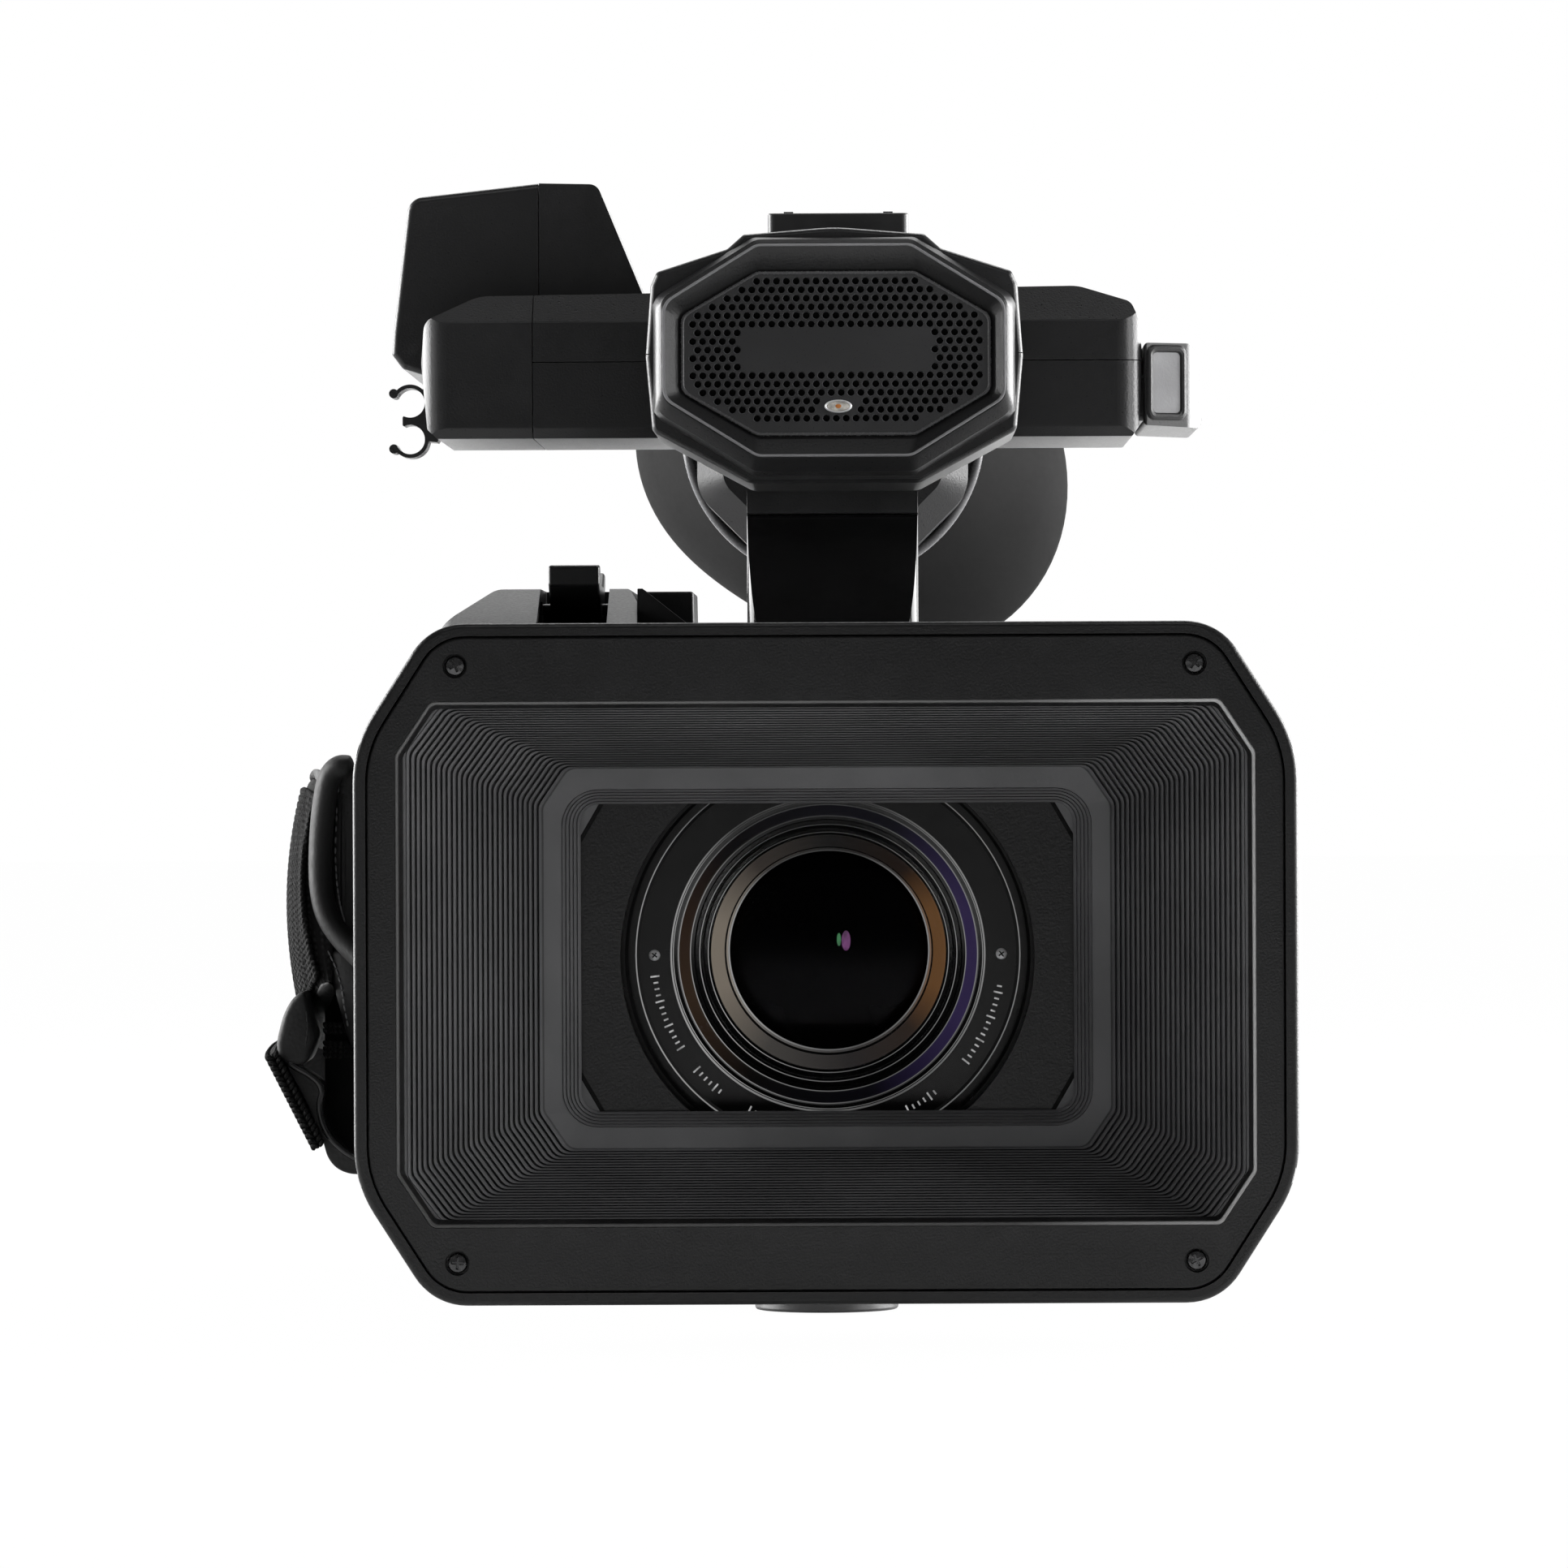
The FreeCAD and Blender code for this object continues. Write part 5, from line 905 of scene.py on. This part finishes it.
# Monitor pull.
def pull_frame():
    """Raised rim round the slanted face of the monitor's pull, over a grained inset painted paler as a
    painted reflection.
    """
    start, along, outward = Vector((53.9, -53.0)), Vector((0.878, 0.479)), Vector((0.479, -0.878))
    middle, height = 4.45, 157.15

    def loop(outline, lift):
        result = []
        for u, v in outline:
            place = start + along * (middle + u) + outward * lift
            result.append((place.x, place.y, height + v))
        return result

    form = Form()
    box = [(3.9, -6.4), (3.9, 6.4), (-3.9, 6.4), (-3.9, -6.4)]
    rows = ((0.0, -0.2), (0.0, 0.15), (0.25, 0.4), (0.6, 0.5), (1.0, 0.4), (1.25, 0.1), (1.25, -0.2))
    form.loft([loop(rounded(shrunk(box, inset), 1.5 - inset * 0.6), lift) for inset, lift in rows], ring=True)
    face = rounded(shrunk(box, 1.2), 0.8)
    form.loft([loop(face, -0.2), loop(face, 0.08)], 1)
    piece("monitor_pull_rim", form, [case, pale_reflection_skin], "monitor", (), 25.0)


# Marks beside the controls, at (along, up).
DIAL_CENTRES = [(94.0, 84.0), (94.0, 66.0)]
BUTTON_CENTRES = [(34.0, 90.0), (46.0, 90.0)]


def control_marks():
    """Plain raised ticks round the two audio dials, and a small bar over each user button."""
    form = Form()
    low, high = CONTROL_FACE_X - 0.3, CONTROL_FACE_X + 0.12
    for centre in DIAL_CENTRES:
        for step in range(9):
            form.slab(tick(math.radians(-30 + 30 * step), 8.1, 9.2, 0.18, centre), low, high, "X")
    for y, z in BUTTON_CENTRES:
        bar = [(y - 1.6, z + 5.4), (y + 1.6, z + 5.4), (y + 1.6, z + 5.9), (y - 1.6, z + 5.9)]
        form.slab(bar, low, high, "X")
    piece("control_marks", form, [mark_skin], "camera_body")


# Viewfinder cup. Each lobe is a swing of the rim radius and its phase in degrees, for 1, 2 and 3 per turn.
CUP_LOBES = [(5.0, 22), (2.8, 74), (1.8, 131)]


def cup_reach(angle):
    """Rim radius of the eyecup at an angle from +X."""
    reach = 41.4
    for turns, (swing, phase) in enumerate(CUP_LOBES, start=1):
        reach += swing * math.cos(turns * angle + math.radians(phase))
    return reach


def eyecup():
    """Soft cup: a ridged collar that flares to a rolled, lopsided lip and returns inside, with a pale bead by
    the collar as a painted highlight.
    """
    front, collar, count = 174.05, 27.8, 120
    # The flank is given as (share of the flare, depth).
    flank = [(0.0, 0.0), (0.0, 0.8), (0.04, 1.5), (0.0, 2.3), (0.0, 3.4), (0.05, 4.2), (0.14, 5.6),
             (0.3, 8.2), (0.52, 11.8), (0.74, 15.6), (0.9, 18.8), (0.98, 21.0), (1.0, 21.6)]

    def ring(share, y, inward):
        loop = []
        for step in range(count):
            angle = TAU * step / count
            reach = collar + (cup_reach(angle) - collar) * share - inward
            loop.append((-0.6 * share + reach * math.cos(angle), front + y, EVF_Z + reach * math.sin(angle)))
        return loop

    rings = [ring(share, y, 0.0) for share, y in flank]
    rings += [ring(1.0, y, reach) for reach, y in ((0.1, 21.85), (0.7, 22.0), (1.4, 21.85), (1.8, 21.3))]
    rings += [ring(share, y * 1.02, 2.3 if y > 5 else 3.4) for share, y in reversed(flank[:-1])]
    form = Form()
    form.loft(rings, ring=True)
    collar_face = [(27.3, 0.4), (26.9, -0.3), (26.3, -0.5), (25.7, -0.2), (25.4, 0.3), (24.6, 0.4),
                   (24.2, 0.0), (23.7, -0.1), (23.2, 0.2), (22.9, 0.6), (21.6, 0.7), (21.6, 1.6),
                   (27.3, 1.6)]
    form.turn(collar_face, 120, (0.0, front - 0.6, EVF_Z), kind=1)
    bead_profile = [(28.7 + 0.95 * c, 0.95 * s) for c, s in circle(16)]
    form.turn(bead_profile, 120, (0.0, front - 6.1, EVF_Z), kind=2)
    piece("eyecup_soft", form, [cup_skin, lip_skin, collar_highlight_skin], "viewfinder", ["eyecup"],
          60.0)


# Soft bands, cords and threads.
def curve_point(path, share):
    """Point on a smooth curve through equally spaced path points."""
    spans = len(path) - 1
    place = min(max(share, 0.0), 1.0) * spans
    index = min(int(place), spans - 1)
    t = place - index
    p0, p1 = path[max(index - 1, 0)], path[index]
    p2, p3 = path[index + 1], path[min(index + 2, spans)]
    result = []
    for a, b, c, d in zip(p0, p1, p2, p3):
        square, cube = 2 * a - 5 * b + 4 * c - d, 3 * b - a - 3 * c + d
        result.append(0.5 * (2 * b + (c - a) * t + square * t * t + cube * t ** 3))
    return Vector(result)


def curve_step(path, share):
    """Vector along a path about a share of it."""
    return curve_point(path, share + 0.01) - curve_point(path, share - 0.01)


def ribbon_frame(low_rail, high_rail, share):
    """Low point, step across, outward normal and direction of a band between two rails."""
    low, high = curve_point(low_rail, share), curve_point(high_rail, share)
    along = (curve_step(low_rail, share) + curve_step(high_rail, share)).normalized()
    normal = (high - low).cross(along).normalized()
    if normal.x > 0:
        normal = -normal
    return low, high - low, normal, along


def ribbon(form, low_rail, high_rail, thickness, crown=0.0, kind=0, columns=48, rows=12):
    """Soft band between two rails, with rounded edges and ends and an extra swell on its outside."""
    loops = []
    for column in range(columns + 1):
        share = column / columns
        low, across, normal, _ = ribbon_frame(low_rail, high_rail, share)
        end = min(1.0, 12.0 * share + 0.3, 12.0 * (1.0 - share) + 0.3)
        loop = []
        for side in (1, -1):
            for row in range(rows):
                turn_share = (row + 0.5) / rows
                v = 0.5 - 0.5 * side * math.cos(math.pi * turn_share)
                offset = side * thickness / 2 * math.sin(math.pi * turn_share) ** 0.5
                if side > 0:
                    offset += crown * math.sin(math.pi * v) ** 0.8
                loop.append(low + across * v + normal * offset * end)
        loops.append(loop)
    form.loft(loops, kind)


def cord(form, path, radius, deep=1.0, kind=0, steps=60, sides=14):
    """Cord along a path in space; deep stretches its section along Y."""
    loops = []
    for step in range(steps + 1):
        share = step / steps
        here = curve_point(path, share)
        across = curve_step(path, share).normalized().cross(Vector((0.0, 1.0, 0.0))).normalized()
        size = radius * min(1.0, 14 * share + 0.35, 14 * (1 - share) + 0.35)
        long_way = Vector((0.0, size * deep, 0.0))
        loops.append([here + across * size * c + long_way * s for c, s in circle(sides)])
    form.loft(loops, kind)


def bead(form, centre, along, across, length, radius, kind):
    """Short spindle of thread."""
    other = along.cross(across).normalized()
    loops = []
    for place, size in ((-0.5, 0.3), (-0.3, 0.85), (0.0, 1.0), (0.3, 0.85), (0.5, 0.3)):
        middle = centre + along * place * length
        loops.append([middle + (across * c + other * s) * radius * size for c, s in circle(6)])
    form.loft(loops, kind)


def stitches(form, path, count, kind=0):
    """Row of short raised threads along a path in space."""
    for index in range(count):
        share = (index + 0.5) / count
        along = curve_step(path, share).normalized()
        across = along.cross(Vector((0.0, 1.0, 0.0))).normalized()
        bead(form, curve_point(path, share), along, across, 1.1, 0.17, kind)


def braid(form, low_rail, high_rail, offset, columns, rows, size, kind=0, crown=0.0, margin=0.0):
    """Herringbone of spindles over a band: columns follow its length and rows cross it."""
    for column in range(columns):
        share = margin / 2 + (1 - margin) * (column + 0.5) / columns
        low, across, normal, along = ribbon_frame(low_rail, high_rail, share)
        lean = 0.7 if column % 2 else -0.7
        axis = (across.normalized() * math.cos(lean) + along * math.sin(lean)).normalized()
        side = axis.cross(normal).normalized()
        for row in range(rows):
            v = margin + (1 - 2 * margin) * (row + 0.5) / rows
            height = offset + crown * math.sin(math.pi * v) ** 0.8
            bead(form, low + across * v + normal * height, axis, side, size * 1.5, size * 0.5, kind)


def pillow(form, outline, near, far, inset):
    """Soft block: a smooth closed outline in X and Z, drawn between two depths with rounded ends."""
    closed = outline + outline[:3]
    spans, steps = len(outline), 4
    smooth = [curve_point(closed, (1 + i / 5) / (spans + 2)) for i in range(spans * 5)]
    centre = sum(smooth, Vector((0.0, 0.0))) / len(smooth)
    loops = []
    for depth, way in ((near, 1), (far, -1)):
        for arc in range(steps + 1)[::way]:
            angle = math.pi / 2 * arc / steps
            pull, move = inset * (1 - math.sin(angle)), inset * (1 - math.cos(angle))
            loop = []
            for point in smooth:
                inward = (centre - point).normalized() * pull
                loop.append((point.x + inward.x, depth + way * move, point.y + inward.y))
            loops.append(loop)
    form.loft(loops)


def moved(path, x=0.0, y=0.0, z=0.0):
    """Path with every point shifted."""
    return [(p[0] + x, p[1] + y, p[2] + z) for p in path]


# Hand strap.
PAD_SPINE = [(-88.8, 11.0), (-91.6, 24.0), (-93.2, 42.0), (-93.0, 62.0), (-90.6, 82.0), (-85.6, 102.0)]
PAD_LOW = [54.0, 49.0, 44.0, 42.0, 42.0, 46.0]
PAD_HIGH = [88.5, 90.0, 90.0, 89.5, 88.0, 83.0]
FRONT_RIM = [(-84.4, 9.5, 92.0), (-86.8, 9.0, 92.2), (-88.6, 9.5, 90.4), (-89.5, 10.0, 86.8),
             (-90.2, 10.4, 81.2), (-90.5, 10.6, 75.4), (-90.3, 10.6, 70.4), (-89.3, 10.4, 66.2),
             (-87.3, 9.8, 62.8), (-84.4, 8.6, 59.6), (-81.0, 6.8, 56.6)]
REAR_RIM = [(-85.6, 102.2, 82.5), (-85.8, 102.6, 70.0), (-85.8, 102.6, 58.0), (-85.6, 102.2, 46.5)]
UNDER_LOW = [(-89.4, 12.6, 60.0), (-88.6, 12.6, 55.2), (-87.2, 12.4, 49.6), (-85.8, 12.0, 44.6),
             (-84.0, 11.6, 40.8)]
UNDER_HIGH = [(-83.6, 11.2, 60.2), (-82.0, 11.0, 54.6), (-81.0, 11.0, 49.4), (-80.4, 10.8, 45.0),
              (-80.0, 10.6, 41.0)]
LINING = [(-87.4, 12.0, 58.0), (-87.9, 12.6, 70.0), (-88.0, 12.6, 80.0), (-86.8, 12.0, 92.4)]
UPPER_SEAM = [(-86.2, 9.9, 65.0), (-87.2, 10.8, 69.0), (-87.8, 11.0, 76.0), (-87.5, 10.9, 85.0)]
LOWER_SEAM = [(-89.2, 11.0, 59.6), (-87.9, 11.0, 56.8), (-86.8, 10.9, 53.2), (-86.3, 10.7, 49.8),
              (-85.7, 10.4, 46.4)]


def strap_pad():
    """Padded back of the strap: mesh outside, leather lining, and a rolled leather rim with seams."""
    low = [spot + (z,) for spot, z in zip(PAD_SPINE, PAD_LOW)]
    high = [spot + (z,) for spot, z in zip(PAD_SPINE, PAD_HIGH)]
    crown, mesh = 3.3, 1
    form = Form()
    ribbon(form, low, high, 3.4, crown, mesh, 56, 18)
    braid(form, low, high, 1.5, 66, 34, 1.15, mesh, crown, 0.04)
    ribbon(form, moved(low, 2.4, 0.6, 1.0), moved(high, 2.4, 0.6, -1.0), 1.8)
    cord(form, FRONT_RIM, 2.1, 1.7, 0, 90)
    cord(form, moved(high, z=0.2), 1.5)
    cord(form, moved(low, z=-0.2), 1.5)
    cord(form, REAR_RIM, 2.1, 1.2)
    ribbon(form, UNDER_LOW, UNDER_HIGH, 1.8, 0.5)
    ribbon(form, LINING, [(-76.5, 14.0, z) for _, _, z in LINING], 1.6, 0.5)
    stitches(form, UPPER_SEAM, 16, 2)
    stitches(form, LOWER_SEAM, 11, 2)
    piece("strap_pad_soft", form, [leather, mesh_cloth, thread_skin], "camera_body",
          ["strap_pad"], 50.0)


LOBE = [(-93.1, 52.5), (-95.0, 51.4), (-96.5, 48.9), (-97.4, 46.0), (-97.9, 43.2), (-97.4, 40.9),
        (-96.2, 39.8), (-94.4, 39.5), (-92.8, 40.2), (-91.8, 42.5), (-91.2, 44.8), (-91.7, 47.4),
        (-92.4, 50.3)]
TONGUE_EDGE = [(-96.3, 40.2), (-94.5, 39.0), (-92.7, 38.0), (-90.8, 36.5), (-90.1, 34.8), (-90.5, 32.5),
               (-90.1, 29.6), (-88.8, 26.9), (-86.9, 24.9), (-84.6, 23.3), (-81.0, 22.0)]
TONGUE = TONGUE_EDGE + [(-79.0, 21.4), (-79.0, 19.6), (-82.9, 20.2), (-85.4, 20.5), (-87.5, 21.5),
                        (-89.0, 23.4), (-89.9, 26.3), (-91.5, 30.2), (-93.4, 34.5), (-95.4, 38.2)]
FRONT_TAB = [(-75.2, 15.0, 22.0), (-80.0, 16.5, 22.0), (-85.0, 19.0, 22.5), (-90.4, 23.0, 24.5)]
REAR_TAB = [(-75.4, 109.6, 50.0), (-79.0, 108.8, 49.0), (-82.6, 106.4, 47.6), (-85.6, 102.0, 46.4)]


def strap_leather_parts():
    """Leather lobe over the loop of the strap, the tongue under it with a curled edge, and two end tabs."""
    form = Form()
    pillow(form, LOBE, 4.0, 27.0, 1.3)
    pillow(form, TONGUE, 4.6, 22.0, 0.5)
    cord(form, [(x + 0.1, 4.7, z + 0.1) for x, z in TONGUE_EDGE], 0.6, 1.0, 1, 80, 10)
    ribbon(form, FRONT_TAB, moved(FRONT_TAB, z=32.0), 1.9)
    ribbon(form, REAR_TAB, [(x, y, z + 22.0 + 3.0 * i) for i, (x, y, z) in enumerate(REAR_TAB)], 1.9)
    stitches(form, [(-92.6, 4.1, 49.0), (-92.4, 3.9, 46.0), (-92.8, 4.1, 43.0)], 6)
    piece("strap_leather_parts", form, [leather, lip_skin], "camera_body", (), 50.0)


WEB_LOW = [(-90.3, 3.4, 25.2), (-90.9, 14.0, 25.0), (-91.6, 34.0, 24.8), (-91.6, 58.0, 24.8),
           (-89.4, 82.0, 25.0), (-83.0, 100.0, 25.4), (-76.0, 108.0, 26.0)]
WEB_HIGH = [(-98.7, 3.4, 41.8), (-99.2, 14.0, 42.4), (-99.4, 34.0, 43.0), (-98.8, 58.0, 43.2),
            (-95.4, 82.0, 43.4), (-87.0, 102.0, 44.0), (-76.0, 111.0, 45.0)]
LOOP_PATH = [(-90.0, 16.5, 0.0), (-83.0, 14.0, 0.0), (-76.0, 13.0, 0.0)]


def webbing():
    """Woven band outside the strap, folded back at its front end, and the two loops inside the strap."""
    form = Form()
    ribbon(form, WEB_LOW, WEB_HIGH, 2.3, 0.0, 0, 60, 10)
    braid(form, WEB_LOW, WEB_HIGH, 1.1, 76, 18, 0.95)
    fold_low, fold_high = Vector(WEB_LOW[0]), Vector(WEB_HIGH[0])
    across = (fold_high - fold_low).normalized()
    normal = Vector((-across.z, 0.0, across.x))
    count, lean = 18, 0.75
    for side in (-1, 1):
        axis = (normal * side * math.cos(lean) + across * math.sin(lean)).normalized()
        for index in range(count):
            place = fold_low + (fold_high - fold_low) * ((index + 0.5) / count)
            spot = place + normal * side * 0.62 + Vector((0.0, -0.5, 0.0))
            bead(form, spot, axis, Vector((0.0, 1.0, 0.0)), 1.5, 0.44, 0)
    for low, high, rows in ((44.7, 46.8, 2), (40.5, 43.5, 3)):
        rails = moved(LOOP_PATH, z=low), moved(LOOP_PATH, z=high)
        ribbon(form, *rails, 1.5, 0.0, 0, 30, 6)
        braid(form, *rails, 0.7, 14, rows, 0.9)
    piece("strap_web", form, [webbing_cloth], "camera_body", ["strap_webbing"], 60.0)


for build in (hood_funnel, hood_edges, hood_screws, lens_rings, front_cell, glasses, name_ring, filter_thread,
              mic_bezel, mic_plate, tally, pull_frame, control_marks, eyecup, strap_pad, strap_leather_parts,
              webbing):
    build()


# Camera and light.
def camera():
    """Long lens in front of the hood, a little above its middle."""
    data = bpy.data.cameras.new("camera")
    made = bpy.data.objects.new("camera", data)
    bpy.context.scene.collection.objects.link(made)
    made.location = (0.0082, -1.55, 0.0954)
    made.rotation_euler = (math.radians(90), math.radians(0.25), 0)
    data.sensor_width = 36.0
    data.lens = 202.2
    data.shift_x, data.shift_y = -0.059, -0.0238
    data.clip_start, data.clip_end = 0.05, 50.0
    bpy.context.scene.camera = made


def area_light(name, location, target, size, power):
    """Soft rectangular light aimed at a point, unseen by the camera."""
    data = bpy.data.lights.new(name, "AREA")
    data.shape = "RECTANGLE"
    data.size, data.size_y = size
    data.energy = power
    made = bpy.data.objects.new(name, data)
    bpy.context.scene.collection.objects.link(made)
    made.location = location
    made.rotation_euler = (Vector(target) - Vector(location)).to_track_quat("-Z", "Y").to_euler()
    made.visible_camera = False


def studio_world():
    """White room: dim in front of the object and overhead, bright behind it, and white to the camera."""
    world = bpy.data.worlds.new("studio")
    bpy.context.scene.world = world
    world.use_nodes = True
    parts = node(world, "SeparateXYZ", {"Vector": node(world, "TexCoord").outputs["Generated"]})
    behind = spread(world, parts.outputs["Y"], 0.11, 2.6, -0.05, 0.5)
    level = spread(world, parts.outputs["Z"], 1.0, 0.12, 0.1, 0.6)
    camera_ray = node(world, "LightPath").outputs["Is Camera Ray"]
    glow = combine(world, "MULTIPLY", behind, level)
    seen = node(world, "Mix", {"Factor": camera_ray, "A": glow, "B": 1.0})
    background = world.node_tree.nodes["Background"]
    feed(world, seen.outputs["Result"], background.inputs["Strength"])
    background.inputs["Color"].default_value = (1, 1, 1, 1)


def studio_floor():
    """White floor that the camera sees almost without shadow."""
    reach = 6
    mesh = bpy.data.meshes.new("floor")
    mesh.from_pydata([(-reach, -reach, 0), (reach, -reach, 0), (reach, reach, 0), (-reach, reach, 0)], [],
                     [(0, 1, 2, 3)])
    floor = bpy.data.objects.new("floor", mesh)
    bpy.context.scene.collection.objects.link(floor)
    floor.location.z = -0.0002
    material, shader = new_material("floor_white")
    shader.inputs["Base Color"].default_value = (0.85, 0.85, 0.85, 1)
    shader.inputs["Roughness"].default_value = 0.8
    glow = node(material, "Emission", {"Strength": 1.0})
    share = combine(material, "MULTIPLY", node(material, "LightPath").outputs["Is Camera Ray"], 0.99)
    mixed = node(material, "MixShader", {"Fac": share, 1: shader.outputs[0], 2: glow.outputs[0]})
    feed(material, mixed.outputs[0], material.node_tree.nodes["Material Output"].inputs["Surface"])
    mesh.materials.append(material)


bpy.context.scene.view_settings.view_transform = "Standard"
camera()
studio_world()
studio_floor()
area_light("left_panel", (-1.1, 0.34, 0.3), (0, 0.34, 0.3), (1.1, 0.9), 52.0)
area_light("right_panel", (1.1, 0.34, 0.3), (0, 0.34, 0.3), (1.1, 0.9), 60.0)
area_light("left_strip", (-1.25, -0.75, 0.3), (0, 0, 0.1), (0.3, 0.9), 1.6)
area_light("right_strip", (1.25, -0.75, 0.3), (0, 0, 0.1), (0.3, 0.9), 10.0)
area_light("high_front", (0.0, -1.0, 1.35), (0, -0.1, 0.05), (1.0, 0.5), 3.5)
area_light("top_box", (0.1, 0.8, 1.1), (0, 0.2, 0.08), (0.8, 0.5), 6.0)
